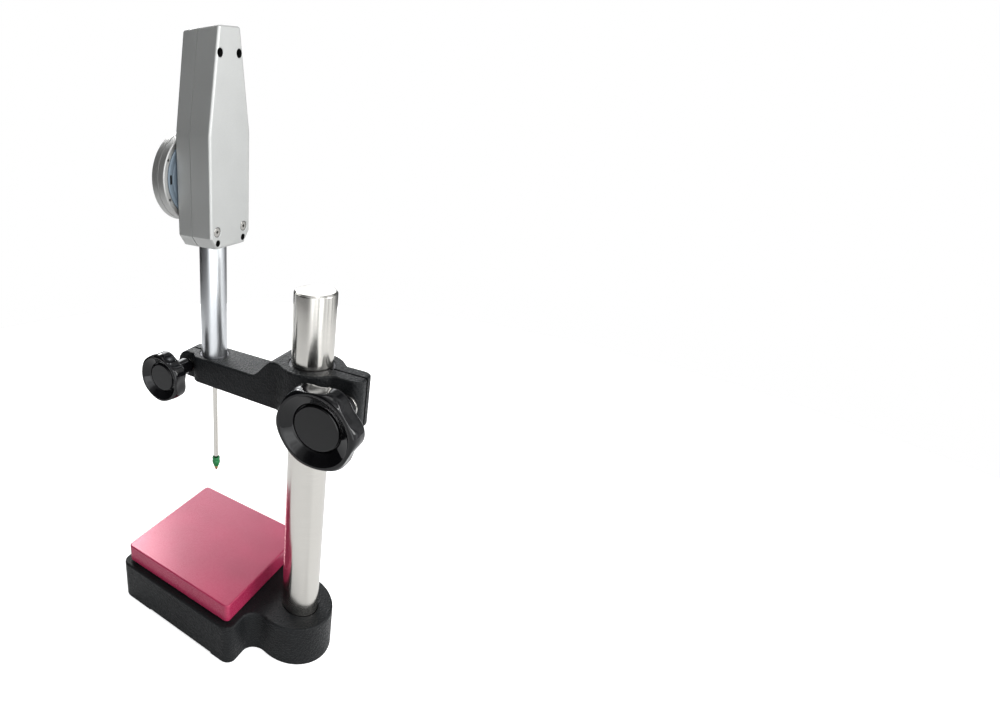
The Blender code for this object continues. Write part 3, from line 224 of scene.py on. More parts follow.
def rounded_polygon(corners, steps):
    """Outline through corners given as (x, y, radius), each turned by an arc of that radius."""
    result = []
    count = len(corners)
    for i, (x, y, radius) in enumerate(corners):
        corner = Vector((x, y))
        before = (Vector(corners[i - 1][:2]) - corner).normalized()
        after = (Vector(corners[(i + 1) % count][:2]) - corner).normalized()
        turn = before.angle(after)
        reach = radius / math.tan(turn / 2)
        start, end = corner + before * reach, corner + after * reach
        for k in range(steps + 1):
            t = k / steps
            # A quadratic through both tangent points stays within 3% of the arc
            result.append((1 - t) ** 2 * start + 2 * t * (1 - t) * corner + t * t * end)
    return result


def inset_polygon(corners, inset):
    """Move every side of a convex outline inwards by inset; radii shrink with it."""
    count = len(corners)
    area = sum(corners[i - 1][0] * corners[i][1] - corners[i][0] * corners[i - 1][1]
               for i in range(count))
    side = 1 if area > 0 else -1
    lines = []
    for i in range(count):
        a, b = Vector(corners[i][:2]), Vector(corners[(i + 1) % count][:2])
        along = (b - a).normalized()
        inward = Vector((-along.y, along.x)) * side
        lines.append((a + inward * inset, along))
    result = []
    for i in range(count):
        (p, d), (q, e) = lines[i - 1], lines[i]
        t = ((q - p).x * e.y - (q - p).y * e.x) / (d.x * e.y - d.y * e.x)
        meet = p + d * t
        result.append((meet.x, meet.y, max(corners[i][2] - inset, 0.2 * MM)))
    return result


def merged(*parts):
    """Several closed bodies in one bmesh, for one cutter."""
    whole = bmesh.new()
    for part in parts:
        bmesh.ops.recalc_face_normals(part, faces=part.faces)
        mesh = bpy.data.meshes.new("part")
        part.to_mesh(mesh)
        part.free()
        whole.from_mesh(mesh)
        bpy.data.meshes.remove(mesh)
    return whole


def link(name, bm, place):
    """New object from a bmesh, with its faces turned outwards."""
    bmesh.ops.recalc_face_normals(bm, faces=bm.faces)
    mesh = bpy.data.meshes.new(name)
    bm.to_mesh(mesh)
    bm.free()
    obj = bpy.data.objects.new(name, mesh)
    bpy.context.scene.collection.objects.link(obj)
    obj.matrix_world = place
    return obj


def shape(obj, bm, operation):
    """Cut a helper body out of obj, or join it on, and apply the result."""
    tool = link(obj.name + "_tool", bm, obj.matrix_world.copy())
    mod = obj.modifiers.new("Shape", "BOOLEAN")
    mod.operation = operation
    mod.solver = "EXACT"
    mod.object = tool
    bpy.context.view_layer.update()
    depsgraph = bpy.context.evaluated_depsgraph_get()
    result = bpy.data.meshes.new_from_object(obj.evaluated_get(depsgraph))
    obj.modifiers.clear()
    old, obj.data = obj.data, result
    bpy.data.meshes.remove(old)
    bpy.data.objects.remove(tool, do_unlink=True)


def piece(name, bm, finish, body, nodes=(), cuts=(), joins=()):
    """A finished visible piece: shaped, shaded, painted and tied to its CAD body."""
    obj = link(name, bm, GAUGE if body in GAUGE_BODIES else STAND)
    for part in joins:
        shape(obj, part, "UNION")
    for part in cuts:
        shape(obj, part, "DIFFERENCE")
    obj.data.name = name
    obj.data.shade_smooth()
    obj.data.set_sharp_from_angle(angle=SMOOTH_ANGLE)
    weighted = obj.modifiers.new("Weighted Normal", "WEIGHTED_NORMAL")
    weighted.keep_sharp = True
    obj.data.materials.clear()
    obj.data.materials.append(FINISHES[finish])
    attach(obj, body)
    if nodes:
        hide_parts(*nodes)
    return obj


# ---------------------------------------------------------------- finishes

def node(tree, kind, settings=None, **sockets):
    """Add a shader node; sockets are set by name, with _ for a space."""
    made = tree.nodes.new(kind)
    for key, value in (settings or {}).items():
        setattr(made, key, value)
    for key, value in sockets.items():
        made.inputs[key.replace("_", " ")].default_value = value
    return made


def surface(name, colour, roughness, metallic=0.0, **sockets):
    """Material with its Principled shader; further sockets are set by name, with _ for a space."""
    mat = bpy.data.materials.new(name)
    mat.use_nodes = True
    shader = mat.node_tree.nodes["Principled BSDF"]
    shader.inputs["Base Color"].default_value = (*colour, 1)
    shader.inputs["Roughness"].default_value = roughness
    shader.inputs["Metallic"].default_value = metallic
    for key, value in sockets.items():
        shader.inputs[key.replace("_", " ")].default_value = value
    return mat, mat.node_tree, shader


def grain(tree, size, stretch=(1, 1, 1), detail=2.0, contrast=(0.3, 0.7)):
    """Noise in the piece's own coordinates; size is the grain in metres."""
    where = node(tree, "ShaderNodeTexCoord")
    scaled = node(tree, "ShaderNodeMapping", Scale=tuple(s / size for s in stretch))
    noise = node(tree, "ShaderNodeTexNoise", Scale=1.0, Detail=detail, Roughness=0.55)
    level = node(tree, "ShaderNodeMapRange", From_Min=contrast[0], From_Max=contrast[1])
    tree.links.new(where.outputs["Object"], scaled.inputs["Vector"])
    tree.links.new(scaled.outputs["Vector"], noise.inputs["Vector"])
    tree.links.new(noise.outputs["Fac"], level.inputs["Value"])
    return level.outputs["Result"]


def vary_roughness(tree, shader, pattern, low, high):
    """Roughness that follows a pattern from low to high."""
    spread = node(tree, "ShaderNodeMapRange", To_Min=low, To_Max=high)
    tree.links.new(pattern, spread.inputs["Value"])
    tree.links.new(spread.outputs["Result"], shader.inputs["Roughness"])


def vary_colour(tree, shader, pattern, colour, dark, light):
    """Colour that follows a pattern, from dark times the colour to light times it."""
    mix = node(tree, "ShaderNodeMix", {"data_type": "RGBA"})
    for socket in mix.inputs:
        if socket.type == "RGBA":
            factor = {"A": dark, "B": light}[socket.name]
            socket.default_value = (*(min(c * factor, 1.0) for c in colour), 1)
    tree.links.new(pattern, mix.inputs["Factor"])
    output = next(s for s in mix.outputs if s.type == "RGBA")
    tree.links.new(output, shader.inputs["Base Color"])


def add_bump(tree, shader, pattern, depth, strength=1.0, below=None):
    """Bump from a pattern, on top of the bump below where there is one."""
    bump = node(tree, "ShaderNodeBump", Strength=strength, Distance=depth)
    tree.links.new(pattern, bump.inputs["Height"])
    if below is not None:
        tree.links.new(below, bump.inputs["Normal"])
    tree.links.new(bump.outputs["Normal"], shader.inputs["Normal"])
    return bump.outputs["Normal"]


def texture_paint(name, colour, roughness, grain_size, depth):
    """Sprayed texture paint on a casting: pebbled surface with glossier crowns."""
    mat, tree, shader = surface(name, colour, roughness, Specular_IOR_Level=0.2)
    pebble = grain(tree, grain_size, detail=2.0, contrast=(0.38, 0.66))
    patches = grain(tree, 14 * MM, detail=2.0)
    vary_roughness(tree, shader, pebble, roughness + 0.12, roughness - 0.16)
    vary_colour(tree, shader, patches, colour, 0.85, 1.25)
    casting = add_bump(tree, shader, grain(tree, 5 * MM, detail=1.0), 0.06 * MM, 0.6)
    add_bump(tree, shader, pebble, depth, 1.0, casting)
    return mat


def plate_enamel(name, colour, roughness):
    """Satin raspberry finish, faintly grained."""
    mat, tree, shader = surface(name, colour, roughness, 0.12, Specular_IOR_Level=0.5)
    fine = grain(tree, 0.35 * MM, detail=3.0)
    cloud = grain(tree, 30 * MM, detail=2.0)
    vary_roughness(tree, shader, fine, roughness - 0.04, roughness + 0.06)
    vary_colour(tree, shader, cloud, colour, 0.94, 1.05)
    add_bump(tree, shader, fine, 0.012 * MM, 0.5)
    return mat


def ground_steel(name, colour, roughness, lay):
    """Ground or turned steel; the grinding lines run round the axis called lay."""
    mat, tree, shader = surface(name, colour, roughness, 1.0, Anisotropic=0.5, Anisotropic_Rotation=0.25)
    along = {"X": (1, 0.02, 0.02), "Y": (0.02, 1, 0.02), "Z": (0.02, 0.02, 1)}[lay]
    lines = grain(tree, 0.3 * MM, along, detail=2.0, contrast=(0.25, 0.75))
    haze = grain(tree, 26 * MM, detail=3.0)
    tangent = node(tree, "ShaderNodeTangent", {"direction_type": "RADIAL", "axis": lay})
    tree.links.new(tangent.outputs["Tangent"], shader.inputs["Tangent"])
    vary_roughness(tree, shader, haze, roughness - 0.03, roughness + 0.04)
    vary_colour(tree, shader, lines, colour, 0.93, 1.04)
    add_bump(tree, shader, lines, 0.004 * MM, 0.3)
    return mat


def satin_metal(name, colour, roughness, depth=0.006 * MM):
    """Plated or blasted metal with an even, fine grain."""
    mat, tree, shader = surface(name, colour, roughness, 1.0)
    fine = grain(tree, 0.25 * MM, detail=3.0)
    vary_roughness(tree, shader, grain(tree, 12 * MM), roughness - 0.02, roughness + 0.02)
    vary_colour(tree, shader, fine, colour, 0.95, 1.03)
    add_bump(tree, shader, fine, depth, 0.5)
    return mat


def metallic_paint(name, colour, roughness, metallic):
    """Silver-grey lacquer with fine flake."""
    mat, tree, shader = surface(name, colour, roughness, metallic)
    flake = grain(tree, 0.22 * MM, detail=2.0, contrast=(0.35, 0.65))
    vary_colour(tree, shader, flake, colour, 0.92, 1.07)
    vary_roughness(tree, shader, grain(tree, 18 * MM), roughness - 0.03, roughness + 0.04)
    add_bump(tree, shader, flake, 0.008 * MM, 0.6)
    return mat


def moulded_plastic(name, colour, roughness, coat=0.0, ripple=0.0):
    """Moulded or polished plastic with a trace of ripple."""
    mat, tree, shader = surface(name, colour, roughness, Coat_Weight=coat, Coat_Roughness=0.03,
                                Specular_IOR_Level=0.25)
    wave = grain(tree, 7 * MM, detail=1.0)
    vary_roughness(tree, shader, grain(tree, 3 * MM), roughness, roughness + 0.05)
    vary_colour(tree, shader, wave, colour, 1.0, 1.25)
    if ripple:
        add_bump(tree, shader, wave, ripple, 0.5)
    return mat


def printed_face(name, colour):
    """Matt printed dial sheet."""
    mat, tree, shader = surface(name, colour, 0.55)
    fibre = grain(tree, 0.4 * MM, detail=3.0)
    vary_colour(tree, shader, fibre, colour, 0.97, 1.0)
    vary_roughness(tree, shader, fibre, 0.5, 0.62)
    return mat


def clear_crystal(name):
    """Clear acrylic with a trace of wear."""
    mat, tree, shader = surface(name, (1, 1, 1), 0.02, Transmission_Weight=1.0, IOR=1.49)
    vary_roughness(tree, shader, grain(tree, 9 * MM), 0.01, 0.04)
    return mat


FINISHES = {}


def colour_prop(name, description, default):
    """Colour setting of the panel."""
    return FloatVectorProperty(name=name, description=description, subtype="COLOR", size=3,
                               min=0.0, max=1.0, default=default)


def length_prop(name, description, default):
    """Length setting of the panel."""
    return FloatProperty(name=name, description=description, default=default, min=0.0,
                         subtype="DISTANCE", unit="LENGTH")


class StandColours(bpy.types.PropertyGroup):
    """Colours of the finishes."""
    casting: colour_prop("Casting paint", "Texture paint on base and arm", (0.006, 0.0068, 0.0075))
    plate: colour_prop("Anvil plate", "Satin finish of the anvil plate", (0.34, 0.024, 0.074))
    steel: colour_prop("Ground steel", "Column and screws", (0.70, 0.68, 0.64))
    chrome: colour_prop("Satin chrome", "Stem and dial case", (0.74, 0.76, 0.78))
    housing: colour_prop("Housing paint", "Silver-grey lacquer of the gauge", (0.48, 0.485, 0.475))
    knob: colour_prop("Knob plastic", "Glossy moulded knobs", (0.003, 0.003, 0.0035))
    contact: colour_prop("Contact sleeve", "Green sleeve above the contact", (0.008, 0.16, 0.045))
    brass: colour_prop("Brass", "Movement plates, bushes and contact tip", (0.56, 0.41, 0.17))
    cover: colour_prop("Rear cover", "Cover plate behind the dial", (0.15, 0.19, 0.23))
    face: colour_prop("Dial face", "Printed dial sheet", (0.84, 0.84, 0.81))


class STAND_OT_finishes(bpy.types.Operator):
    """Make the paint, metal and plastic finishes"""
    bl_idname = "gauge_stand.finishes"
    bl_label = "Finishes"

    def execute(self, context):
        c = context.scene.stand_colours
        FINISHES.update({
            "casting": texture_paint("casting_paint", tuple(c.casting), 0.42, 1.5 * MM, 0.22 * MM),
            "plate": plate_enamel("plate_enamel", tuple(c.plate), 0.26),
            "column": ground_steel("column_steel", tuple(c.steel), 0.17, "Z"),
            "stud": ground_steel("stud_steel", tuple(c.steel), 0.25, "X"),
            "screw": ground_steel("screw_steel", tuple(c.steel), 0.22, "Y"),
            "dark_steel": satin_metal("dark_steel", (0.05, 0.05, 0.055), 0.4),
            # Painted shade: a flat black for the sleeves, rings, fills and deep screws that stand for the
            # shade in the housing's holes, gaps and slots
            "shadow": moulded_plastic("painted_shade_black", (0.002, 0.002, 0.002), 0.75),
            "chrome": satin_metal("satin_chrome", tuple(c.chrome), 0.3, depth=0.0015 * MM),
            "bright": satin_metal("bright_steel", tuple(c.steel), 0.16),
            "dial_metal": satin_metal("dial_metal", (0.50, 0.50, 0.49), 0.55),
            "liner": satin_metal("liner_steel", (0.07, 0.07, 0.075), 0.4),
            "housing": metallic_paint("housing_lacquer", tuple(c.housing), 0.5, 0.72),
            "knob": moulded_plastic("knob_plastic", tuple(c.knob), 0.05, 0.3, 0.02 * MM),
            "contact": moulded_plastic("contact_sleeve", tuple(c.contact), 0.22, 0.3),
            "brass": satin_metal("brass", tuple(c.brass), 0.28),
            "cover": metallic_paint("cover_paint", tuple(c.cover), 0.36, 0.2),
            "face": printed_face("dial_print", tuple(c.face)),
            "ink": moulded_plastic("dial_ink", (0.012, 0.012, 0.012), 0.5),
            "hand": moulded_plastic("hand_lacquer", (0.008, 0.008, 0.008), 0.3),
            "crystal": clear_crystal("crystal"),
            "rubber": moulded_plastic("rubber", (0.015, 0.015, 0.015), 0.7),
        })
        return {"FINISHED"}


# ---------------------------------------------------------------- base, plate and column

class StandSizes(bpy.types.PropertyGroup):
    """Edge breaks and radii that the frame doesn't hold."""
    base_corner: length_prop("Base corner", "Radius of the block's corners in plan", 9 * MM)
    base_edge: length_prop("Base edge", "Rounding of the base's top edge", 1.9 * MM)
    lobe_radius: length_prop("Lobe radius", "Radius of the lobe under the column", 33.5 * MM)
    lobe_fillet: length_prop("Lobe fillet", "Radius where the block flows into the lobe", 12 * MM)
    plate_corner: length_prop("Plate corner", "Radius of the plate's corners in plan", 4.5 * MM)
    plate_edge: length_prop("Plate edge", "Rounding of the plate's edges", 1.1 * MM)
    column_edge: length_prop("Column chamfer", "Chamfer at the top of the column", 1.4 * MM)
    arm_edge: length_prop("Arm edge", "Rounding of the casting's edges", 1.6 * MM)
    housing_edge: length_prop("Housing edge", "Rounding of the housing's outer edges", 1.8 * MM)
    bore_chamfer: length_prop("Bore chamfer", "Chamfer at the mouth of each bore", 0.5 * MM)
    knob_lobes: IntProperty(name="Knob lobes", description="Lobes round each knob", default=6, min=3)


def base_outline(sizes, half, front, rear, lobe_y, inset):
    """Square block flowing through two fillets into the column's lobe, moved in by inset."""
    corner = sizes.base_corner - inset
    fillet = sizes.lobe_fillet + inset
    lobe = sizes.lobe_radius - inset
    inner = half - sizes.base_corner
    fillet_y = rear + sizes.lobe_fillet
    fillet_x = math.sqrt((lobe + fillet) ** 2 - (fillet_y - lobe_y) ** 2)
    meet = math.degrees(math.atan2(lobe_y - fillet_y, -fillet_x)) % 360
    points = arc(inner, front + sizes.base_corner, corner, -90, 0, 12)
    points += arc(inner, rear - sizes.base_corner, corner, 0, 90, 12)
    points += arc(fillet_x, fillet_y, fillet, 270, meet, 16)
    points += arc(0, lobe_y, lobe, meet - 180, 360 - meet, 64)[1:-1]
    points += arc(-fillet_x, fillet_y, fillet, 180 - meet, -90, 16)
    points += arc(-inner, rear - sizes.base_corner, corner, 90, 180, 12)
    points += arc(-inner, front + sizes.base_corner, corner, 180, 270, 12)
    return points


def rectangle(low, high, radius):
    """Corners of a rectangle in plan, as (x, y, corner radius)."""
    corners = ((low.x, low.y), (high.x, low.y), (high.x, high.y), (low.x, high.y))
    return [(x, y, radius) for x, y in corners]


PLATE_SCREW_REACH = 42 * MM     # of each screw from the plate's middle, along x and y
PLATE_SCREW_WAY = 3.3 * MM      # radius of the hole for a screw's shank


def plate_screw_places():
    """Where the four screws come up into the anvil plate."""
    low, high = limits("anvil_plate")
    middle = (low + high) / 2
    return [(middle.x + sx * PLATE_SCREW_REACH, middle.y + sy * PLATE_SCREW_REACH, 0)
            for sx in (-1, 1) for sy in (-1, 1)]


def counterbore(wide, narrow, seat, end):
    """Profile of a stepped hole that comes up from under the base."""
    return [(0, -MM), (wide, -MM), (wide, seat), (narrow, seat), (narrow, end), (0, end)]


class STAND_OT_base(bpy.types.Operator):
    """Cast base with its feet, the column's socket and the land under the plate"""
    bl_idname = "gauge_stand.base"
    bl_label = "Base"

    def execute(self, context):
        sizes = context.scene.stand_sizes
        low, high = limits("base_casting")
        plate_low, plate_high = limits("anvil_plate")
        column = radius_of("column")
        foot_recess = 2 * MM
        foot_front, foot_rear, rear_foot, foot_half = -121 * MM, -48 * MM, -60 * MM, 37 * MM
        socket_floor, socket_radius = 12.6 * MM, column + 0.35 * MM
        half = high.x
        rear = low.y + 2 * half
        lobe_y = high.y - sizes.lobe_radius
        land_top = high.z
        top = land_top - 0.95 * MM

        def outline(inset):
            return base_outline(sizes, half, low.y, rear, lobe_y, inset)

        body = stack(outline, rounded_levels(0, top, 1.2 * MM, sizes.base_edge, 6))
        margin = Vector((4 * MM, 4 * MM, 0))
        land = rectangle(plate_low + margin, plate_high - margin, 3 * MM)
        raised = stack(lambda inset: rounded_polygon(land, 6), [(top - 3 * MM, 0), (land_top, 0)])
        socket = lathe([(0, socket_floor), (socket_radius, socket_floor), (socket_radius, top - 0.1 * MM),
                        (column + 1.4 * MM, top + MM), (0, top + MM)], 96)
        along_x = block((-half - MM, foot_front, -MM), (half + MM, foot_rear, foot_recess))
        along_y = block((-foot_half, low.y - MM, -MM), (foot_half, rear_foot, foot_recess))
        bolt_way = lathe(counterbore(11.5 * MM, 5.5 * MM, 9 * MM, 14 * MM), 48)
        screw_way = counterbore(5.6 * MM, PLATE_SCREW_WAY, 27 * MM, land_top + MM)
        screw_ways = merged(*[lathe(screw_way, 32, centre=place) for place in plate_screw_places()])
        piece("base_body", body, "casting", "stand", ["base_casting"],
              joins=[raised], cuts=[socket, along_x, along_y, bolt_way, screw_ways])
        return {"FINISHED"}


class STAND_OT_anvil_plate(bpy.types.Operator):
    """Square anvil plate with softly broken edges"""
    bl_idname = "gauge_stand.anvil_plate"
    bl_label = "Anvil plate"

    def execute(self, context):
        sizes = context.scene.stand_sizes
        low, high = limits("anvil_plate")
        corners = rectangle(low, high, sizes.plate_corner)
        body = stack(lambda inset: rounded_polygon(inset_polygon(corners, inset), 8),
                     rounded_levels(low.z, high.z, 0.8 * MM, sizes.plate_edge, 5))
        tap = tube(0, PLATE_SCREW_WAY, low.z - MM, low.z + 9.5 * MM)
        taps = merged(*[lathe(tap, 32, centre=place) for place in plate_screw_places()])
        piece("anvil_slab", body, "plate", "stand", ["anvil_plate"], cuts=[taps])
        return {"FINISHED"}


class STAND_OT_column(bpy.types.Operator):
    """Ground column with a chamfered top"""
    bl_idname = "gauge_stand.column"
    bl_label = "Column"

    def execute(self, context):
        edge = context.scene.stand_sizes.column_edge
        low, high = limits("column")
        radius = radius_of("column")
        bore, depth = 4.35 * MM, 30 * MM
        profile = [(0, high.z), (radius - edge, high.z), (radius, high.z - edge),
                   (radius, low.z + MM), (radius - MM, low.z), (bore, low.z), (bore, low.z + depth),
                   (0, low.z + depth + 2 * MM)]
        piece("column_bar", turned(profile, 160, edge=0.3 * MM, steps=3), "column",
              "stand", ["column"])
        return {"FINISHED"}


# ---------------------------------------------------------------- clamping arm

def smooth_max(a, b, blend):
    """The larger of two values, with a fillet where they cross."""
    h = min(max(0.5 + 0.5 * (a - b) / blend, 0), 1)
    return b + (a - b) * h + blend * h * (1 - h)


class ArmShape:
    """Plan and side outline of the arm, from the frame's boxes."""
    ear_half = 10.8 * MM
    body_half = 16 * MM
    shoulder = 9 * MM          # radius of the front shoulders in plan
    rear_corner = 7 * MM
    blend = 4 * MM
    ramp = (-43 * MM, -23 * MM)

    def __init__(self, edge):
        low, high = limits("arm_casting")
        self.low, self.high = low, high
        self.edge = edge
        self.boss = high.x
        self.stem_y = joint_place("gauge_swivel").y
        nose_y, nose_z = joint_place("stem_clamp_turn").yz
        self.nose_y, self.nose_z = nose_y, nose_z
        self.nose = nose_z - low.z
        self.front_top = nose_z + self.nose
        self.front = self.stem_y - 14 * MM

    def half_width(self, y):
        boss = math.sqrt(max(self.boss ** 2 - y ** 2, 0))
        if y > 0:
            corner = self.high.y - self.rear_corner
            if y >= corner:
                cut = math.sqrt(max(self.rear_corner ** 2 - (y - corner) ** 2, 0))
                return self.ear_half - self.rear_corner + cut
            return smooth_max(boss, self.ear_half, self.blend)
        if y <= self.front:
            return self.ear_half
        corner = self.front + self.shoulder
        if y < corner:
            cut = math.sqrt(self.shoulder ** 2 - (y - corner) ** 2)
            return max(self.body_half - self.shoulder + cut, self.ear_half)
        return smooth_max(boss, self.body_half, self.blend)

    def top(self, y):
        start, end = self.ramp
        t = min(max((y - start) / (end - start), 0), 1)
        return self.front_top + (self.high.z - self.front_top) * (0.5 - 0.5 * math.cos(math.pi * t))

    def section(self, half, height):
        """Rounded rectangle as (x, offset from mid height)."""
        edge = min(self.edge, 0.9 * half, 0.9 * height)
        corner = [(half - edge + edge * math.cos(a), height - edge + edge * math.sin(a))
                  for a in (math.pi / 2 * k / 4 for k in range(5))]
        right = corner[::-1] + [(x, -h) for x, h in corner]
        return right + [(-x, h) for x, h in reversed(right)]

    def stations(self):
        steps = [self.nose_y + 0.5 * MM, self.front - 0.3 * MM, self.front + 0.02 * MM]
        corner = self.front + self.shoulder
        steps += [corner - self.shoulder * math.sin(math.radians(a)) for a in range(80, -1, -8)]
        steps += [corner + (self.ramp[0] - 8 * MM - corner) * k / 6 for k in range(7)]
        steps += [self.ramp[0] - 8 * MM + 1.2 * MM * k for k in range(31)]
        rear = self.high.y - self.rear_corner
        here = steps[-1]
        steps += [here + (rear - here) * k / 40 for k in range(1, 41)]
        return sorted(set(steps))


def arm_body(form):
    """Loft of the whole arm: round nose, front arm, ramp, boss and rear ears."""
    bm = bmesh.new()
    rings = []

    def ring(half, height, place):
        rings.append([bm.verts.new(place(x, h)) for x, h in form.section(half, height)])

    nose_steps, rear_steps = 24, 16
    for k in range(nose_steps, 0, -1):
        a = math.radians(90 * k / nose_steps)
        ring(form.ear_half, form.nose, lambda x, h: (x, form.nose_y - abs(h) * math.sin(a),
                                                     form.nose_z + h * math.cos(a)))
    ring(form.ear_half, form.nose, lambda x, h: (x, form.nose_y, form.nose_z + h))
    for y in form.stations():
        low, high = form.low.z, form.top(y)
        ring(form.half_width(y), 0.5 * (high - low), lambda x, h: (x, y, 0.5 * (high + low) + h))
    # Rear corners in plan, with the same edge round the end face
    rear = form.high.y - form.rear_corner
    for k in range(1, rear_steps + 1):
        a = math.radians(90 * k / rear_steps)
        y = rear + form.rear_corner * math.sin(a)
        over = max(y - (form.high.y - form.edge), 0)
        drop = form.edge - math.sqrt(max(form.edge ** 2 - over ** 2, 0))
        low, high = form.low.z + drop, form.high.z - drop
        ring(form.half_width(min(y, form.high.y - 1e-7)), 0.5 * (high - low),
             lambda x, h: (x, y, 0.5 * (high + low) + h))
    skin_rings(bm, rings)
    bmesh.ops.remove_doubles(bm, verts=bm.verts, dist=1e-6)
    bmesh.ops.dissolve_degenerate(bm, dist=1e-7, edges=bm.edges)
    return bm


def bore(radius, low, high, chamfer, segments, centre=(0, 0, 0)):
    """Cutter for a bore with chamfered mouths."""
    over = 4 * MM
    profile = [(0, low - over), (radius + chamfer + over, low - over), (radius + chamfer, low),
               (radius, low + chamfer), (radius, high - chamfer), (radius + chamfer, high),
               (radius + chamfer + over, high + over), (0, high + over)]
    return lathe(profile, segments, "Z", centre)


class STAND_OT_arm(bpy.types.Operator):
    """Split clamping arm between the column and the gauge's stem"""
    bl_idname = "gauge_stand.arm"
    bl_label = "Arm"

    def execute(self, context):
        sizes = context.scene.stand_sizes
        form = ArmShape(sizes.arm_edge)
        slot = 2 * MM
        column_bore = radius_of("column_bush") + CLEARANCE
        stem_axis = (0, form.stem_y)
        stem_bore = radius_of("stem_bush", "Z", stem_axis) + CLEARANCE
        cuts = [bore(column_bore, form.low.z, form.high.z, sizes.bore_chamfer, 128),
                bore(stem_bore, form.low.z, form.front_top, sizes.bore_chamfer, 96, (*stem_axis, 0)),
                block((-slot / 2, 10 * MM, form.low.z - MM), (slot / 2, form.high.y + MM, form.high.z + MM)),
                block((-slot / 2, form.low.y - MM, form.low.z - MM),
                      (slot / 2, form.stem_y - 8 * MM, form.high.z + MM))]
        for clamp in ("column_clamp", "stem_clamp"):
            y, z = joint_place(clamp + "_turn").yz
            radius = radius_of(clamp + "_stud", "X", (y, z)) + 0.35 * MM
            chamfer = 0.5 * MM
            mouth = radius + chamfer
            far, flare = 30 * MM, mouth + 19.2 * MM
            way = [(0, -far), (flare, -far), (mouth, -form.ear_half),
                   (radius, -form.ear_half + chamfer), (radius, form.ear_half - chamfer),
                   (mouth, form.ear_half), (flare, far), (0, far)]
            cuts.append(lathe(way, 40, "X", (0, y, z)))
        piece("clamp_arm", arm_body(form), "casting", "arm", ["arm_casting"], cuts=cuts)
        return {"FINISHED"}


class STAND_OT_liners(bpy.types.Operator):
    """Split liners between the arm and the column and stem"""
    bl_idname = "gauge_stand.liners"
    bl_label = "Liners"

    def execute(self, context):
        for name, body, side, axis in (("column_bush", "column_liner", 1, (0, 0)),
                                       ("stem_bush", "stem_liner", -1,
                                        tuple(joint_place("gauge_swivel").xy))):
            low, high = limits(name)
            wall, slit_half = 1.3 * MM, 0.8 * MM
            outer = radius_of(name, "Z", axis)
            inner = outer - wall
            top = high.z - 0.5 * MM
            ring = turned(tube(inner, outer, low.z, top), 96, "Z", (*axis, 0), 0.2 * MM, closed=True)
            slit_y = sorted((axis[1] + side * (inner - 2 * MM), axis[1] + side * (outer + 2 * MM)))
            slit = block((-slit_half, slit_y[0], low.z - MM), (slit_half, slit_y[1], high.z + MM))
            piece(name.replace("bush", "liner"), ring, "liner", body, [name],
                  cuts=[slit])
        return {"FINISHED"}


# ---------------------------------------------------------------- clamp screws

def knob_rings(radius, seat, face, scallop):
    """Profile of a lobed knob as (x, radius, hollow depth between lobes)."""
    length = face - seat
    steps = [(0.00, 0.28, 0), (0.00, 0.33, 0), (0.50, 0.33, 0), (0.60, 0.40, 0), (0.58, 0.66, 0),
             (0.605, 0.72, 0.1), (0.61, 0.86, 0.5), (0.635, 0.955, 0.9), (0.70, 1.0, 1.0), (0.87, 1.0, 1.0),
             (0.955, 0.97, 0.6), (0.99, 0.93, 0.15), (1.00, 0.89, 0), (1.00, 0.84, 0),
             (0.985, 0.815, 0), (0.89, 0.575, 0), (0.845, 0.56, 0)]
    return [(seat + t * length, r * radius, h * scallop) for t, r, h in steps]


def lobed_body(rings, lobes, centre, start):
    """Body along X from knob_rings; its first lobe points at the angle start."""
    bm = bmesh.new()
    steps = 20 * lobes
    loops = []
    for x, radius, hollow in rings:
        loop = []
        for i in range(steps):
            a = 2 * math.pi * i / steps
            wave = 0.5 - 0.5 * math.cos(lobes * (a - start))
            r = radius - hollow * wave ** 1.15
            loop.append(bm.verts.new((x, centre[0] + r * math.cos(a), centre[1] + r * math.sin(a))))
        loops.append(loop)
    skin_rings(bm, loops)
    return bm


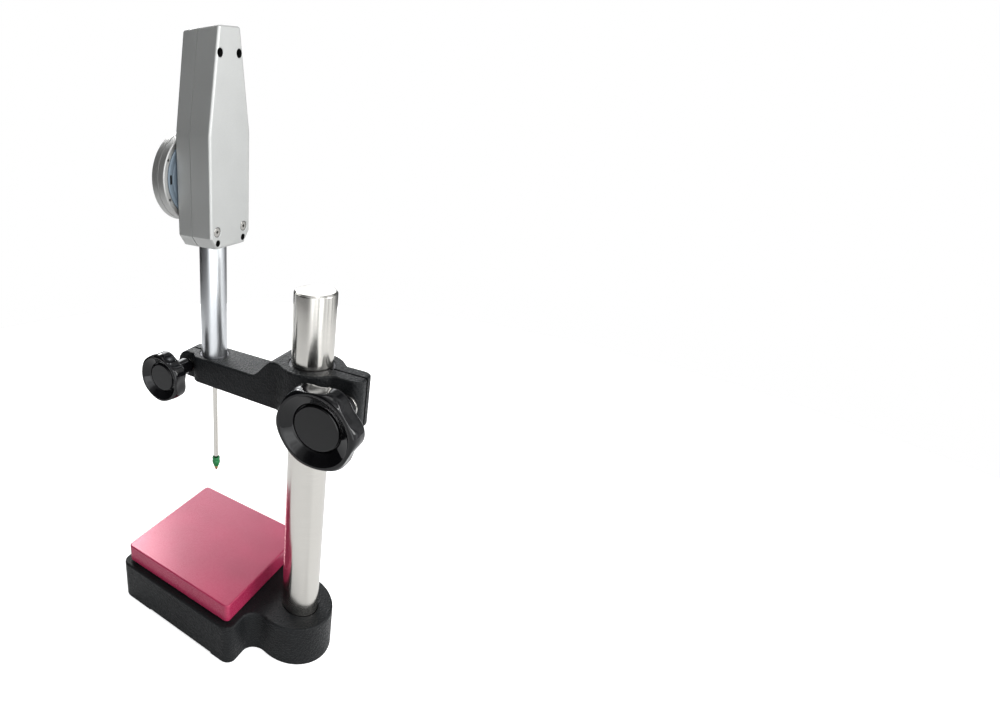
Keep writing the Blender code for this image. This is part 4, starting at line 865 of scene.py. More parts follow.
class STAND_OT_clamps(bpy.types.Operator):
    """Lobed knobs, their caps, washers and studs"""
    bl_idname = "gauge_stand.clamps"
    bl_label = "Clamps"

    def execute(self, context):
        lobes = context.scene.stand_sizes.knob_lobes
        for clamp in ("column_clamp", "stem_clamp"):
            y, z = joint_place(clamp + "_turn").yz
            centre = (0, y, z)
            low, high = limits(clamp + "_knob")
            radius = radius_of(clamp + "_knob", "X", (y, z)) - CLEARANCE
            seat, face = low.x, high.x
            length = face - seat
            rings = soften(knob_rings(0.997 * radius, seat, face, 0.11 * radius), 0.05 * radius, 4)
            body = lobed_body(rings, lobes, (y, z), crest_of(clamp + "_knob", y, z))
            stud = radius_of(clamp + "_stud", "X", (y, z))
            way = lathe(tube(0, stud + 0.3 * MM, seat - MM, seat + 16.2 * MM), 40, "X", centre)
            piece(clamp + "_handwheel", body, "knob", clamp + "_screw",
                  [clamp + "_knob"], cuts=[way])
            rim = 0.545 * radius
            bottom, top = seat + 0.85 * length, seat + 0.90 * length
            cap = [(0, bottom), (rim, bottom), (rim, top - 0.4 * MM), (rim - 0.8 * MM, top), (0, top)]
            piece(clamp + "_cap", turned(cap, 72, "X", centre, 0.25 * MM, steps=3), "knob",
                  clamp + "_screw", [clamp + "_knob_cap"])
            self.metal(clamp, centre, stud)
        return {"FINISHED"}

    def metal(self, clamp, centre, stud):
        """Washer under the knob and the stud with its driver slot."""
        low, high = limits(clamp + "_washer")
        outer = radius_of(clamp + "_washer", "X", centre[1:])
        washer = tube(stud + 0.35 * MM, outer, low.x, high.x)
        piece(clamp + "_ring", turned(washer, 64, "X", centre, 0.25 * MM, closed=True), "bright",
              clamp + "_seat", [clamp + "_washer"])
        low, high = limits(clamp + "_stud")
        edge, slot_half, slot_depth = 0.5 * MM, 0.5 * MM, 1.4 * MM
        rod = [(0, low.x), (stud - edge, low.x), (stud, low.x + edge), (stud, high.x - edge),
               (stud - edge, high.x), (0, high.x)]
        driver = block((low.x - MM, centre[1] - slot_half, centre[2] - stud - MM),
                       (low.x + slot_depth, centre[1] + slot_half, centre[2] + stud + MM))
        piece(clamp + "_thread", turned(rod, 48, "X", centre, 0.2 * MM), "stud",
              clamp + "_screw", [clamp + "_stud"], cuts=[driver])


# ---------------------------------------------------------------- gauge housing

def housing_corners(low, high, half):
    """Front outline of the housing as (x, z, corner radius)."""
    kink = 420 * MM
    top_half = 0.5 * half
    cut_x, cut_z = 6 * MM, 8.4 * MM
    side = [(half - cut_x, low, 1.4 * MM), (half, low + cut_z, 2.2 * MM), (half, kink, 14 * MM),
            (top_half, high, 2.4 * MM)]
    return side + [(-x, z, r) for x, z, r in reversed(side)]


def deep_hole(x, z, steps, segments=40):
    """Cutter along Y; steps are (radius, y) from the inside outwards."""
    profile = [(0, steps[0][1])] + steps + [(0, steps[-1][1])]
    return lathe(profile, segments, "Y", (x, 0, z))


# Places (x, z) in the back of the housing
UPPER_SCREWS = [(sx * 9.8 * MM, 471.5 * MM) for sx in (-1, 1)]
LOWER_SCREWS = [(sx * 14.9 * MM, 353.8 * MM) for sx in (-1, 1)]
LOWER_HOLES = [(sx * 14.3 * MM, 345.4 * MM) for sx in (-1, 1)]
SHANK_WAY = 1.75 * MM           # radius of the hole for a case screw's shank
UPPER_WAY, LOWER_WAY, HOLE_WAY = 2.9 * MM, 3.6 * MM, 2.4 * MM       # radii of the holes seen from behind
SCREW_CORE = 1.45 * MM          # radius of a case screw's shank
SCREW_END = -6.5 * MM           # y of its end
DIAL_OPENING = 13 * MM          # radius of the passage between housing and dial


class STAND_OT_housing(bpy.types.Operator):
    """Two shells of the gauge's housing with their seam"""
    bl_idname = "gauge_stand.housing"
    bl_label = "Housing"

    def execute(self, context):
        edge = context.scene.stand_sizes.housing_edge
        front_low, front_high = limits("front_shell", GAUGE)
        rear_low, rear_high = limits("rear_shell", GAUGE)
        wall = 2.2 * MM
        groove = 0.6 * MM
        corners = housing_corners(rear_low.z, rear_high.z, rear_high.x)

        def outline(inset):
            return rounded_polygon(inset_polygon(corners, inset), 6)

        def half_levels(seam, outer):
            """From the seam's small groove to the rounded outer edge."""
            way = 1 if outer > seam else -1
            levels = [(seam, groove), (seam + way * 0.2 * MM, groove), (seam + way * 0.2 * MM, 0)]
            for k in range(7):
                a = math.pi / 2 * k / 6
                levels.append((outer - way * edge * (1 - math.sin(a)), edge * (1 - math.cos(a))))
            return levels

        cavity_corners = [(x, z, 0.8 * MM) for x, z, _ in inset_polygon(corners, wall)]
        cavity_low, cavity_high, wide = 359.5 * MM, 466 * MM, 50 * MM
        stem = radius_of("stem_sleeve", place=GAUGE) + 0.3 * MM

        def cavity(low_y, high_y):
            """Hollow of one shell, with solid ends for the stem and the upper screws."""
            box = stack(lambda inset: rounded_polygon(cavity_corners, 3), [(low_y, 0), (high_y, 0)], "XZ")
            floor = block((-wide, low_y - MM, rear_low.z - MM), (wide, high_y + MM, cavity_low))
            roof = block((-wide, low_y - MM, cavity_high), (wide, high_y + MM, rear_high.z + MM))
            hollow = link("cavity", box, GAUGE)
            shape(hollow, floor, "DIFFERENCE")
            shape(hollow, roof, "DIFFERENCE")
            result = bmesh.new()
            result.from_mesh(hollow.data)
            bpy.data.objects.remove(hollow, do_unlink=True)
            return result

        stem_way = [lathe(tube(0, stem, rear_low.z - MM, cavity_low + MM), 80) for _ in range(2)]
        front = stack(outline, half_levels(front_high.y, front_low.y), "XZ")
        dial_z = joint("pointer_turn")["pos_m"][2]
        opening = tube(0, DIAL_OPENING, front_low.y - MM, front_low.y + 5 * MM)
        taps = merged(*[deep_hole(x, z, [(SHANK_WAY, -8 * MM), (SHANK_WAY, MM)], 24)
                        for x, z in UPPER_SCREWS + LOWER_SCREWS])
        piece("gauge_front_shell", front, "housing", "gauge", ["front_shell"],
              cuts=[cavity(front_low.y + wall, front_high.y + MM), stem_way[0],
                    lathe(opening, 64, "Y", (0, 0, dial_z)), taps])

        rear = stack(outline, half_levels(rear_low.y, rear_high.y), "XZ")
        back = rear_high.y

        def mouth(radius, wide, deep):
            """Last steps of a hole whose rim is broken from radius to wide."""
            return [(radius, back - deep), (wide, back + 0.05 * MM), (wide, back + MM)]

        upper = [(SHANK_WAY, -MM), (SHANK_WAY, 6 * MM), (UPPER_WAY, 6 * MM)]
        upper += mouth(UPPER_WAY, 3.3 * MM, 0.35 * MM)
        lower = [(SHANK_WAY, -MM), (SHANK_WAY, 14.6 * MM), (LOWER_WAY, 17.2 * MM)]
        lower += mouth(LOWER_WAY, 3.95 * MM, 0.3 * MM)
        blind = [(HOLE_WAY, 9 * MM)] + mouth(HOLE_WAY, 2.75 * MM, 0.3 * MM)
        ways = [deep_hole(x, z, upper) for x, z in UPPER_SCREWS]
        ways += [deep_hole(x, z, lower) for x, z in LOWER_SCREWS]
        ways += [deep_hole(x, z, blind, 32) for x, z in LOWER_HOLES]
        piece("gauge_rear_shell", rear, "housing", "gauge", ["rear_shell"],
              cuts=[cavity(rear_low.y - MM, back - wall), stem_way[1], merged(*ways)])
        return {"FINISHED"}


def hex_socket(x, z, low, high, across):
    """Six-sided cutter along Y."""
    bm = bmesh.new()
    corner = across / math.sqrt(3)
    turns = [math.radians(60 * i + 30) for i in range(6)]
    rings = [[bm.verts.new((x + corner * math.cos(a), y, z + corner * math.sin(a))) for a in turns]
             for y in (low, high)]
    skin_rings(bm, rings)
    return bm


class STAND_OT_housing_screws(bpy.types.Operator):
    """Countersunk and deep-set screws in the back of the housing, with black sleeves, rings and discs of
    painted shade in their holes and gaps
    """
    bl_idname = "gauge_stand.housing_screws"
    bl_label = "Housing screws"

    def execute(self, context):
        for number, (x, z) in enumerate(UPPER_SCREWS, 1):
            head, seat, top = 2.45 * MM, 6.4 * MM, 9.4 * MM
            profile = [(0, SCREW_END), (SCREW_CORE, SCREW_END), (SCREW_CORE, seat), (head, seat),
                       (head, top), (0, top)]
            # The upper screws take the painted shade black, standing for the shade deep in their holes
            piece(f"upper_screw_{number}", turned(profile, 32, "Y", (x, 0, z), 0.2 * MM), "shadow",
                  "gauge", [f"upper_case_screw_{number}"],
                  cuts=[hex_socket(x, z, 8 * MM, 11 * MM, 2 * MM)])
        back = limits("rear_shell", GAUGE)[1].y
        # Painted shade: flat black sleeves line the upper screws' holes and the blind lower holes, standing
        # for the shade inside them
        shade_cups = [(x, z, 2.86 * MM, 6.1 * MM) for x, z in UPPER_SCREWS]
        shade_cups += [(x, z, 2.36 * MM, 9.1 * MM) for x, z in LOWER_HOLES]
        for number, (x, z, radius, floor) in enumerate(shade_cups, 1):
            rim = back - 0.45 * MM
            inner = radius - 0.3 * MM
            base = 0 if radius < 2.5 * MM else 1.6 * MM
            profile = [(base, floor), (radius, floor), (radius, rim), (inner, rim),
                       (inner, floor + 0.25 * MM), (base, floor + 0.25 * MM)]
            piece(f"screw_way_sleeve_{number}", lathe(profile, 40, "Y", (x, 0, z), closed=bool(base)),
                  "shadow", "gauge")
        for number, (x, z) in enumerate(LOWER_SCREWS, 1):
            head = 3.25 * MM
            profile = [(0, SCREW_END), (SCREW_CORE, SCREW_END), (SCREW_CORE, 15 * MM), (head, 17.2 * MM),
                       (head, 17.75 * MM), (0, 17.8 * MM)]
            piece(f"lower_screw_{number}", turned(profile, 48, "Y", (x, 0, z), 0.15 * MM), "screw",
                  "gauge", [f"lower_case_screw_{number}"],
                  cuts=[hex_socket(x, z, 16.2 * MM, 19 * MM, 2 * MM)])
            # Painted shade: a black ring in the gap round each countersunk head and a black disc at the
            # bottom of its hex socket
            inner, outer, rim = 3.32 * MM, 3.56 * MM, back - 0.35 * MM
            shade_gap_ring = lathe([(inner, 17.1 * MM), (outer, 17.3 * MM), (outer, rim), (inner, rim)],
                        48, "Y", (x, 0, z), closed=True)
            floor = lathe(tube(0, 0.96 * MM, 16.25 * MM, 16.5 * MM), 24, "Y", (x, 0, z))
            piece(f"countersink_ring_{number}", merged(shade_gap_ring, floor), "shadow", "gauge")
        return {"FINISHED"}


# ---------------------------------------------------------------- stem and spindle

class STAND_OT_stem(bpy.types.Operator):
    """Satin chrome stem of the gauge with its two bushes"""
    bl_idname = "gauge_stand.stem"
    bl_label = "Stem"

    def execute(self, context):
        low, high = limits("stem_sleeve", GAUGE)
        radius = radius_of("stem_sleeve", place=GAUGE)
        inner, edge = 6.5 * MM, 0.8 * MM
        profile = [(inner, low.z), (radius - edge, low.z), (radius, low.z + edge), (radius, high.z),
                   (inner, high.z)]
        piece("stem_tube", turned(profile, 120, edge=0.3 * MM, closed=True), "chrome", "gauge",
              ["stem_sleeve"])
        for name in ("lower_spindle_bush", "upper_spindle_bush"):
            low, high = limits(name, GAUGE)
            outer = radius_of(name, place=GAUGE)
            bush = tube(2.1 * MM, outer, low.z, high.z)
            piece(name.replace("spindle_bush", "guide"), turned(bush, 64, edge=0.4 * MM, closed=True),
                  "brass", "gauge", [name])
        return {"FINISHED"}


class STAND_OT_spindle(bpy.types.Operator):
    """Spindle with its green sleeve and conical contact"""
    bl_idname = "gauge_stand.spindle"
    bl_label = "Spindle"

    def execute(self, context):
        low, high = limits("spindle", GAUGE)
        radius = radius_of("spindle", place=GAUGE)
        sleeve_low, sleeve_high = limits("contact_holder", GAUGE)
        sleeve = radius_of("contact_holder", place=GAUGE)
        tip_low, tip_high = limits("contact_tip", GAUGE)
        rack_low, rack_high = limits("spindle_rack", GAUGE)
        neck = 1.2 * MM
        top, bottom = sleeve_high.z, sleeve_low.z
        rod = [(0, low.z), (neck, low.z), (neck, top + 0.2 * MM), (radius - 0.4 * MM, top + 0.3 * MM),
               (radius, top + 1.2 * MM), (radius, high.z), (0, high.z)]
        seat = block((-3 * MM, -3 * MM, rack_low.z - 0.3 * MM), (-0.7 * MM, 3 * MM, rack_high.z + 0.3 * MM))
        piece("spindle_rod", turned(rod, 64, edge=0.2 * MM), "bright", "spindle_unit",
              ["spindle"], cuts=[seat])
        bead = [(1.5 * MM, top - 1.5 * MM), (2.1 * MM, top - 0.6 * MM), (2.7 * MM, top),
                (3.2 * MM, top - 0.1 * MM), (sleeve, top - 1.5 * MM),
                (0.86 * sleeve, top - 2.7 * MM), (sleeve, top - 4.2 * MM),
                (0.97 * sleeve, top - 5.8 * MM), (0.62 * sleeve, bottom), (1.5 * MM, bottom)]
        piece("contact_sleeve", turned(bead, 64, edge=0.6 * MM, closed=True, steps=4), "contact",
              "spindle_unit", ["contact_holder"])
        tip = [(0, tip_low.z), (0.45 * MM, tip_low.z + 0.12 * MM), (0.8 * MM, tip_low.z + 0.8 * MM),
               (1.8 * MM, bottom - 1.1 * MM), (1.85 * MM, bottom - 0.35 * MM),
               (1.15 * MM, bottom - 0.35 * MM), (1.15 * MM, tip_high.z), (0, tip_high.z)]
        piece("contact_cone", turned(tip, 48, edge=0.2 * MM), "brass", "spindle_unit",
              ["contact_tip"])
        return {"FINISHED"}


# ---------------------------------------------------------------- dial unit

def dial_centre():
    """Centre of the dial in the gauge's own frame."""
    return (0, 0, joint("pointer_turn")["pos_m"][2])


class STAND_OT_dial_case(bpy.types.Operator):
    """Round case, its rear cover, hub and small screws, with a black fill of painted shade behind the
    cover's slots
    """
    bl_idname = "gauge_stand.dial_case"
    bl_label = "Dial case"

    def execute(self, context):
        centre = dial_centre()
        z = centre[2]
        low, high = limits("dial_case", GAUGE)
        radius = radius_of("dial_case", "Y", (0, z), GAUGE)
        back, split = high.y, low.y
        floor, wall, hole = back - 2.4 * MM, 2 * MM, DIAL_OPENING
        groove, edge, recess, ledge = 0.12 * MM, 0.7 * MM, 29.2 * MM, back - 0.9 * MM
        profile = [(hole, ledge), (recess, ledge), (recess, back),
                   (radius - edge, back), (radius, back - edge), (radius, split + 1.0 * MM),
                   (radius - groove, split + 0.8 * MM), (radius - groove, split + 0.4 * MM),
                   (radius, split + 0.2 * MM), (radius, split), (radius - wall, split),
                   (radius - wall, floor), (hole, floor)]
        holes = [(sx * 27.5 * MM, z + sz * 14 * MM) for sx in (-1, 1) for sz in (-1, 1)]
        way = [(1.05 * MM, floor - MM), (1.05 * MM, back + MM)]
        ways = merged(*[deep_hole(x, hz, way, 24) for x, hz in holes])
        piece("dial_body", turned(profile, 144, "Y", centre, 0.15 * MM, closed=True), "dial_metal",
              "gauge", ["dial_case"], cuts=[ways])
        for number, (x, hz) in enumerate(holes, 1):
            pin = tube(0, 0.65 * MM, floor + 0.2 * MM, back - 0.6 * MM)
            piece(f"dial_case_pin_{number}", turned(pin, 24, "Y", (x, 0, hz), 0.1 * MM), "dark_steel",
                  "gauge", [f"dial_case_screw_{number}"])
        inner = hole + 3 * MM
        rim, under, ring, top = 28.8 * MM, back - 0.55 * MM, back + 0.55 * MM, back + 0.85 * MM
        cover = [(inner, under), (rim, under), (rim, back + 0.3 * MM), (rim - MM, top), (25.5 * MM, top),
                 (24.9 * MM, ring), (24.1 * MM, ring), (23.5 * MM, top), (inner, top)]
        slot_x = (-26.2 * MM, 26.2 * MM)
        slots = merged(*[block((x - 1.2 * MM, back - 3 * MM, z - 3 * MM),
                               (x + 1.2 * MM, back + 3 * MM, z + 3.6 * MM)) for x in slot_x])
        piece("dial_cover", turned(cover, 128, "Y", centre, 0.2 * MM, closed=True), "cover", "gauge",
              ["dial_rear_cover"], cuts=[slots])
        # Painted shade: black blocks under the cover's slots stand for the shade inside them
        fill = merged(*[block((x - 1.15 * MM, back - 0.5 * MM, z - 2.95 * MM),
                              (x + 1.15 * MM, back + 0.4 * MM, z + 3.55 * MM)) for x in slot_x])
        piece("cover_slot_shade_fill", fill, "shadow", "gauge")
        hub_low, hub_high = limits("dial_hub", GAUGE)
        hub = tube(hole, hole + 2.5 * MM, hub_low.y, hub_high.y)
        piece("dial_neck", turned(hub, 96, "Y", centre, 0.2 * MM, closed=True), "screw", "gauge",
              ["dial_hub"])
        return {"FINISHED"}


class STAND_OT_bezel(bpy.types.Operator):
    """Turning bezel with its chamfered rim, and the crystal"""
    bl_idname = "gauge_stand.bezel"
    bl_label = "Bezel"

    def execute(self, context):
        centre = dial_centre()
        low, high = limits("bezel_ring", GAUGE)
        radius = radius_of("bezel_ring", "Y", (0, centre[2]), GAUGE)
        face = radius_of("dial_scale_ring", "Y", (0, centre[2]), GAUGE)
        inner = face + 0.35 * MM
        front, split = low.y, high.y
        lip = inner - 2.2 * MM
        ledge = -25.4 * MM
        profile = [(lip, front + 1.1 * MM), (lip, front + 0.5 * MM), (lip + 0.8 * MM, front),
                   (radius - 1.6 * MM, front), (radius, front + 1.8 * MM),
                   (radius, split), (inner, split), (inner, ledge),
                   (inner - 1.2 * MM, ledge), (inner - 1.2 * MM, ledge - 0.65 * MM),
                   (inner, ledge - 0.65 * MM),
                   (inner, front + 1.1 * MM)]
        piece("bezel_body", turned(profile, 144, "Y", centre, 0.15 * MM, closed=True), "dial_metal",
              "bezel", ["bezel_ring"])
        glass_low, glass_high = limits("crystal", GAUGE)
        glass = tube(0, face - CLEARANCE, glass_low.y, glass_high.y)
        piece("crystal_disc", turned(glass, 128, "Y", centre, 0.1 * MM), "crystal", "bezel",
              ["crystal"])
        return {"FINISHED"}


def tick(bm, centre, angle, inner, outer, width, front, depth):
    """One scale mark: a thin raised bar."""
    out = Vector((math.sin(angle), 0, math.cos(angle)))
    side = Vector((math.cos(angle), 0, -math.sin(angle)))
    corners = tube(inner, outer, -width / 2, width / 2)
    rings = []
    for y in (front, front + depth):
        origin = Vector(centre) + Vector((0, y, 0))
        rings.append([bm.verts.new(origin + out * r + side * s) for r, s in corners])
    skin_rings(bm, rings)


def numeral(text, size, x, z, y, depth):
    """Raised digits that read from the front."""
    curve = bpy.data.curves.new("numeral", "FONT")
    curve.body = text
    curve.size = size
    curve.extrude = depth / 2
    curve.resolution_u = 3
    curve.align_x = "CENTER"
    curve.align_y = "CENTER"
    obj = bpy.data.objects.new("numeral", curve)
    bpy.context.scene.collection.objects.link(obj)
    obj.matrix_world = Matrix.Translation((x, y, z)) @ Matrix.Rotation(math.radians(90), 4, "X")
    bpy.context.view_layer.update()
    mesh = bpy.data.meshes.new_from_object(obj.evaluated_get(bpy.context.evaluated_depsgraph_get()))
    mesh.transform(obj.matrix_world)
    bm = bmesh.new()
    bm.from_mesh(mesh)
    bmesh.ops.remove_doubles(bm, verts=bm.verts, dist=1e-6)
    bpy.data.objects.remove(obj, do_unlink=True)
    bpy.data.meshes.remove(mesh)
    return bm


class STAND_OT_dial_face(bpy.types.Operator):
    """Scale ring with a hundred divisions, centre disc and its counter scale"""
    bl_idname = "gauge_stand.dial_face"
    bl_label = "Dial face"

    def execute(self, context):
        centre = dial_centre()
        z = centre[2]
        counter_z = joint("counter_turn")["pos_m"][2]
        low, high = limits("dial_scale_ring", GAUGE)
        outer = radius_of("dial_scale_ring", "Y", (0, z), GAUGE)
        split = radius_of("dial_centre", "Y", (0, z), GAUGE)
        front, back = low.y, high.y
        ring = tube(split + 0.3 * MM, outer, back, front)
        piece("scale_ring", turned(ring, 128, "Y", centre, 0.08 * MM, closed=True), "face", "bezel",
              ["dial_scale_ring"])
        ink = 0.06 * MM
        marks = bmesh.new()
        for i in range(100):
            # length and width, in millimetres, of a tenth, a half and a single mark
            length, width = (4.2, 0.42) if i % 10 == 0 else (3.2, 0.26) if i % 5 == 0 else (2.2, 0.16)
            tick(marks, centre, 2 * math.pi * i / 100, outer - MM - length * MM, outer - MM, width * MM,
                 front - ink, ink * 0.9)
        numbers = [marks]
        numbers_at = outer - 7.4 * MM
        for i in range(10):
            a = 2 * math.pi * i / 10
            x, height = numbers_at * math.sin(a), z + numbers_at * math.cos(a)
            numbers.append(numeral(str(10 * i), 3.6 * MM, x, height, front - ink / 2, ink))
        piece("scale_print", merged(*numbers), "ink", "bezel")

        disc = tube(0, split, back, front)
        holes = merged(deep_hole(0, z, [(0.9 * MM, front - MM), (0.9 * MM, back + MM)], 24),
                       deep_hole(0, counter_z, [(0.8 * MM, front - MM), (0.8 * MM, back + MM)], 24))
        foot = (split - 2.2 * MM) * math.sqrt(0.5)
        floor = limits("dial_centre", GAUGE)[1].y
        post = tube(0, 0.9 * MM, back - 0.2 * MM, floor)
        feet = merged(*[lathe(post, 24, "Y", (sx * foot, 0, z + sz * foot))
                        for sx in (-1, 1) for sz in (-1, 1)])
        piece("centre_disc", turned(disc, 112, "Y", centre, 0.08 * MM), "face", "gauge",
              ["dial_centre"], joins=[feet], cuts=[holes])
        small = bmesh.new()
        for i in range(10):
            tick(small, (0, 0, counter_z), 2 * math.pi * i / 10, 4.2 * MM, 5.3 * MM, 0.2 * MM,
                 front - ink, ink * 0.9)
        rim = lathe(tube(5.45 * MM, 5.6 * MM, front - ink, front - 0.1 * ink), 72, "Y", (0, 0, counter_z),
                    closed=True)
        piece("counter_print", merged(small, rim), "ink", "gauge")
        return {"FINISHED"}


class STAND_OT_hands(bpy.types.Operator):
    """Long pointer with its boss and the small counter hand"""
    bl_idname = "gauge_stand.hands"
    bl_label = "Hands"

    def execute(self, context):
        for name, node_name, body, turn, tail, width, boss in (
                ("long_hand", "pointer", "centre_arbor", "pointer_turn", 7.5 * MM, 0.9 * MM, 2.1 * MM),
                ("short_hand", "counter_hand", "counter_arbor", "counter_turn", 2 * MM, 0.5 * MM, 1.1 * MM)):
            z = joint(turn)["pos_m"][2]
            low, high = limits(node_name, GAUGE)
            length = high.z - z
            tip = 0.13 * MM
            side = [(width, z - tail), (0.55 * width, z - 0.6 * tail), (0.55 * width, z - 0.8 * boss)]
            side += [(boss * math.cos(a), z + boss * math.sin(a)) for a in
                     (math.radians(d) for d in range(-50, 56, 15))]
            side += [(0.45 * width, z + 1.3 * boss), (tip, z + length)]
            outline = side + [(-x, h) for x, h in reversed(side)]
            body_mesh = stack(lambda inset: outline, [(low.y, 0), (high.y, 0)], "XZ")
            eye = deep_hole(0, z, [(0.42 * boss, low.y - MM), (0.42 * boss, high.y + MM)], 32)
            piece(name, body_mesh, "hand", body, [node_name], cuts=[eye])
        return {"FINISHED"}


# ---------------------------------------------------------------- carried pieces and stage

CARRIED = {
    "dark_steel": ["plate_screw_1", "plate_screw_2", "plate_screw_3", "plate_screw_4", "column_bolt"],
    "bright": ["column_washer", "guide_rod", "spring_pin", "return_spring", "hairspring", "rack_pinion",
               "centre_pinion", "spindle_rack"],
    "brass": ["guide_arm", "movement_front_plate", "movement_rear_plate", "pinion_bridge", "drive_wheel",
              "counter_wheel"],
    "rubber": ["bezel_friction_ring"],
}


class STAND_OT_carried(bpy.types.Operator):
    """Finishes for the movement, springs and fastenings that keep their CAD shape"""
    bl_idname = "gauge_stand.carried"
    bl_label = "Movement and fastenings"

    def execute(self, context):
        for name, nodes in CARRIED.items():
            for node_name in nodes:
                mesh = frame["nodes"][node_name].data
                mesh.materials.clear()
                mesh.materials.append(FINISHES[name])
        return {"FINISHED"}


def number_prop(name, description, default):
    """Plain number setting of the panel."""
    return FloatProperty(name=name, description=description, default=default)


class StageSettings(bpy.types.PropertyGroup):
    """Camera and lights."""
    camera_place: FloatVectorProperty(name="Camera", description="Camera's place", subtype="XYZ",
                                      unit="LENGTH", size=3, default=(0.3449, 0.2359, 0.4403))
    azimuth: number_prop("Azimuth", "Direction of view about Z, in degrees", 132.61)
    elevation: number_prop("Elevation", "Camera's height angle, in degrees", 21.43)
    roll: number_prop("Roll", "Camera's roll, in degrees", -2.22)
    lens: number_prop("Lens", "Focal length in millimetres on a 36 mm sensor", 21.01)
    shift_x: number_prop("Shift X", "Sideways lens shift", 0.3205)
    shift_y: number_prop("Shift Y", "Upward lens shift", -0.023)
    key: number_prop("Key light", "Power of the key softbox in watts", 21.0)
    fill: number_prop("Far light", "Power of the far softbox in watts", 8.5)
    top: number_prop("Top light", "Power of the top softbox in watts", 4.0)
    spot: number_prop("Small light", "Power of the small softbox in watts", 5.0)
    ambient: number_prop("Ambient", "Strength of the surrounding light", 0.8)


def softbox(name, place, target, size, power):
    """White rectangular light at place, turned to target."""
    light = bpy.data.lights.new(name, "AREA")
    light.shape = "RECTANGLE"
    light.size, light.size_y = size
    light.energy = power
    obj = bpy.data.objects.new(name, light)
    bpy.context.scene.collection.objects.link(obj)
    obj.location = place
    obj.rotation_euler = (Vector(target) - Vector(place)).to_track_quat("-Z", "Y").to_euler()
    return obj


def lobe(tree, direction, start, end, strength):
    """Soft patch of light round a direction, as a strength between start and end of its cosine."""
    where = node(tree, "ShaderNodeTexCoord")
    dot = node(tree, "ShaderNodeVectorMath", {"operation": "DOT_PRODUCT"})
    dot.inputs[1].default_value = Vector(direction).normalized()
    level = node(tree, "ShaderNodeMapRange", {"interpolation_type": "SMOOTHSTEP"},
                 From_Min=start, From_Max=end, To_Max=strength)
    tree.links.new(where.outputs["Generated"], dot.inputs[0])
    tree.links.new(dot.outputs["Value"], level.inputs["Value"])
    return level.outputs["Result"]


ROOM_LIGHT = (      # direction, cosine where a patch starts, cosine where it is full, strength
    ((-0.70, -0.56, 0.44), 0.91, 0.995, 5.0),
    ((0.30, 0.95, 0.10), 0.0, 0.75, 1.0),
    ((0.76, 0.62, 0.05), 0.70, 0.95, 1.8),
    ((-0.1, 0.0, 1.0), 0.5, 1.0, 0.25),
    ((-0.5, 0.4, 0.6), -1.0, 1.0, 0.18),
)


def combined(tree, operation, first, second):
    """Sum or product of two node outputs."""
    made = node(tree, "ShaderNodeMath", {"operation": operation})
    tree.links.new(first, made.inputs[0])
    tree.links.new(second, made.inputs[1])
    return made.outputs["Value"]


def studio_world(strength):
    """White to the eye; for light and reflections a room with bright walls and darker bays."""
    world = bpy.data.worlds.new("studio")
    world.use_nodes = True
    tree = world.node_tree
    tree.nodes.clear()
    patches = [lobe(tree, *patch) for patch in ROOM_LIGHT]
    light = patches[0]
    for patch in patches[1:]:
        light = combined(tree, "ADD", light, patch)
    where = node(tree, "ShaderNodeTexCoord")
    upright = node(tree, "ShaderNodeMapping", Scale=(3.6, 3.6, 0.2))
    bays = node(tree, "ShaderNodeTexNoise", Scale=1.0, Detail=3.0, Roughness=0.6)
    spread = node(tree, "ShaderNodeMapRange", From_Min=0.34, From_Max=0.66, To_Min=0.15 * strength,
                  To_Max=1.85 * strength)
    tree.links.new(where.outputs["Generated"], upright.inputs["Vector"])
    tree.links.new(upright.outputs["Vector"], bays.inputs["Vector"])
    tree.links.new(bays.outputs["Fac"], spread.inputs["Value"])
    room = node(tree, "ShaderNodeBackground", Color=(0.97, 0.985, 1, 1))
    seen = node(tree, "ShaderNodeBackground", Color=(1, 1, 1, 1), Strength=1.0)
    path = node(tree, "ShaderNodeLightPath")
    mix = node(tree, "ShaderNodeMixShader")
    output = node(tree, "ShaderNodeOutputWorld")
    tree.links.new(combined(tree, "MULTIPLY", light, spread.outputs["Result"]), room.inputs["Strength"])
    tree.links.new(path.outputs["Is Camera Ray"], mix.inputs["Fac"])
    tree.links.new(room.outputs["Background"], mix.inputs[1])
    tree.links.new(seen.outputs["Background"], mix.inputs[2])
    tree.links.new(mix.outputs["Shader"], output.inputs["Surface"])
    bpy.context.scene.world = world


FLOOR_RADIUS = 0.9


def floor_finish():
    """Pale paper that looks evenly lit, and throws back less light than it shows."""
    mat, tree, shader = surface("floor_paper", (0.9, 0.9, 0.9), 0.9, Emission_Color=(1, 1, 1, 1),
                                Emission_Strength=0.62)
    paper = grain(tree, 2 * MM)
    vary_colour(tree, shader, paper, (0.9, 0.9, 0.9), 0.99, 1.01)
    dim = node(tree, "ShaderNodeBsdfDiffuse", Color=(0.74, 0.74, 0.74, 1))
    path = node(tree, "ShaderNodeLightPath")
    mix = node(tree, "ShaderNodeMixShader")
    tree.links.new(path.outputs["Is Camera Ray"], mix.inputs["Fac"])
    tree.links.new(dim.outputs["BSDF"], mix.inputs[1])
    tree.links.new(shader.outputs["BSDF"], mix.inputs[2])
    tree.links.new(mix.outputs["Shader"], tree.nodes["Material Output"].inputs["Surface"])
    return mat


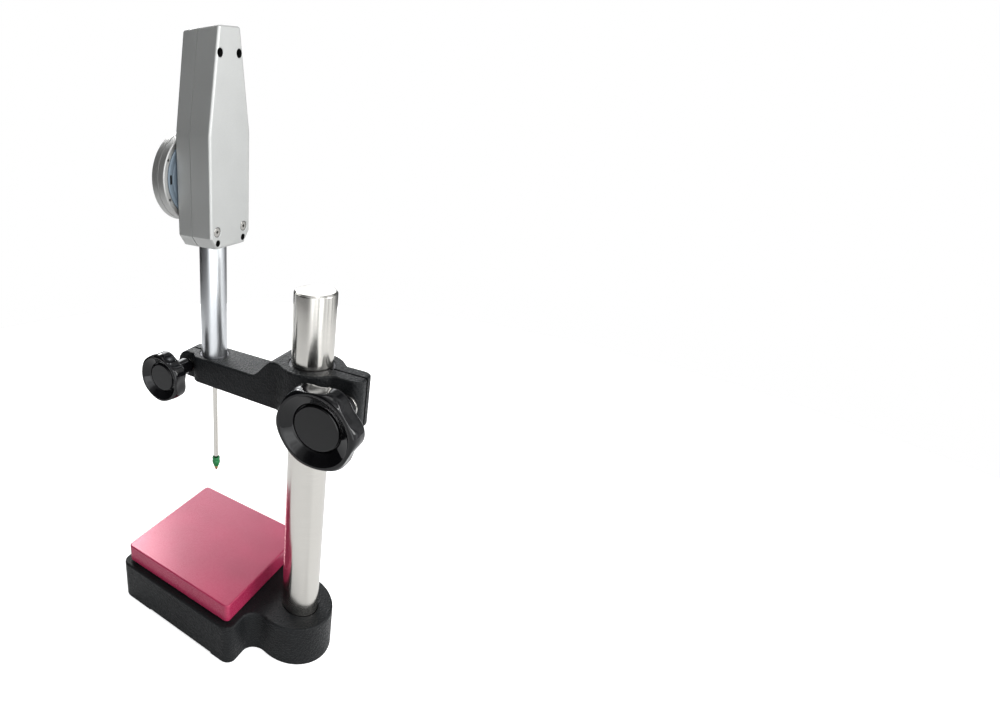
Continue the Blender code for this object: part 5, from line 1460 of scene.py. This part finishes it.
class STAND_OT_stage(bpy.types.Operator):
    """Pale floor, soft studio light and the camera"""
    bl_idname = "gauge_stand.stage"
    bl_label = "Stage"

    def execute(self, context):
        s = context.scene.stand_stage
        sheet = lathe(tube(0, FLOOR_RADIUS, -2 * MM, -0.05 * MM), 96)
        floor = link("floor", sheet, Matrix.Identity(4))
        floor.data.materials.append(floor_finish())
        softbox("key_light", (-0.45, 1.7, 0.95), (0, 0, 0.28), (0.8, 1.3), s.key)
        softbox("far_light", (-0.66, -1.10, 1.08), (0.03, -0.08, 0.06), (0.36, 0.36), s.fill)
        softbox("top_light", (0.0, 0.1, 1.9), (0, 0, 0.2), (0.9, 0.9), s.top)
        softbox("small_light", (0.55, 1.25, 1.5), (0, 0, 0.2), (0.16, 0.1), s.spot)
        studio_world(s.ambient)

        a, e = math.radians(s.azimuth), math.radians(s.elevation)
        back = Vector((math.sin(a) * math.cos(e), -math.cos(a) * math.cos(e), math.sin(e)))
        camera = bpy.data.cameras.new("camera")
        camera.sensor_width = 36
        camera.lens = s.lens
        camera.shift_x, camera.shift_y = s.shift_x, s.shift_y
        camera.clip_start, camera.clip_end = 0.01, 50
        eye = bpy.data.objects.new("camera", camera)
        context.scene.collection.objects.link(eye)
        upright = (-back).to_track_quat("-Z", "Y").to_matrix().to_4x4()
        eye.matrix_world = (Matrix.Translation(s.camera_place) @ upright
                            @ Matrix.Rotation(math.radians(s.roll), 4, "Z"))
        context.scene.camera = eye
        context.scene.view_settings.view_transform = "Standard"
        return {"FINISHED"}


# ---------------------------------------------------------------- panel and registration

PIECES = (STAND_OT_finishes, STAND_OT_base, STAND_OT_anvil_plate, STAND_OT_column, STAND_OT_arm,
          STAND_OT_liners, STAND_OT_clamps, STAND_OT_housing, STAND_OT_housing_screws, STAND_OT_stem,
          STAND_OT_spindle, STAND_OT_dial_case, STAND_OT_bezel, STAND_OT_dial_face, STAND_OT_hands,
          STAND_OT_carried, STAND_OT_stage)


class STAND_PT_panel(bpy.types.Panel):
    """Sizes, colours and pieces of the gauge stand"""
    bl_idname = "STAND_PT_panel"
    bl_label = "Gauge Stand"
    bl_space_type = "VIEW_3D"
    bl_region_type = "UI"
    bl_category = "Gauge Stand"

    def draw(self, context):
        for group in (context.scene.stand_sizes, context.scene.stand_colours, context.scene.stand_stage):
            box = self.layout.box()
            for name in group.__annotations__:
                box.prop(group, name)
        for operator in PIECES:
            self.layout.operator(operator.bl_idname)


CLASSES = (StandColours, StandSizes, StageSettings, *PIECES, STAND_PT_panel)


def register():
    for cls in CLASSES:
        bpy.utils.register_class(cls)
    bpy.types.Scene.stand_colours = PointerProperty(type=StandColours)
    bpy.types.Scene.stand_sizes = PointerProperty(type=StandSizes)
    bpy.types.Scene.stand_stage = PointerProperty(type=StageSettings)


def unregister():
    del bpy.types.Scene.stand_colours
    del bpy.types.Scene.stand_sizes
    del bpy.types.Scene.stand_stage
    for cls in reversed(CLASSES):
        bpy.utils.unregister_class(cls)


def main():
    register()
    for operator in PIECES:
        group, name = operator.bl_idname.split(".")
        getattr(getattr(bpy.ops, group), name)()


if __name__ == "__main__":
    main()
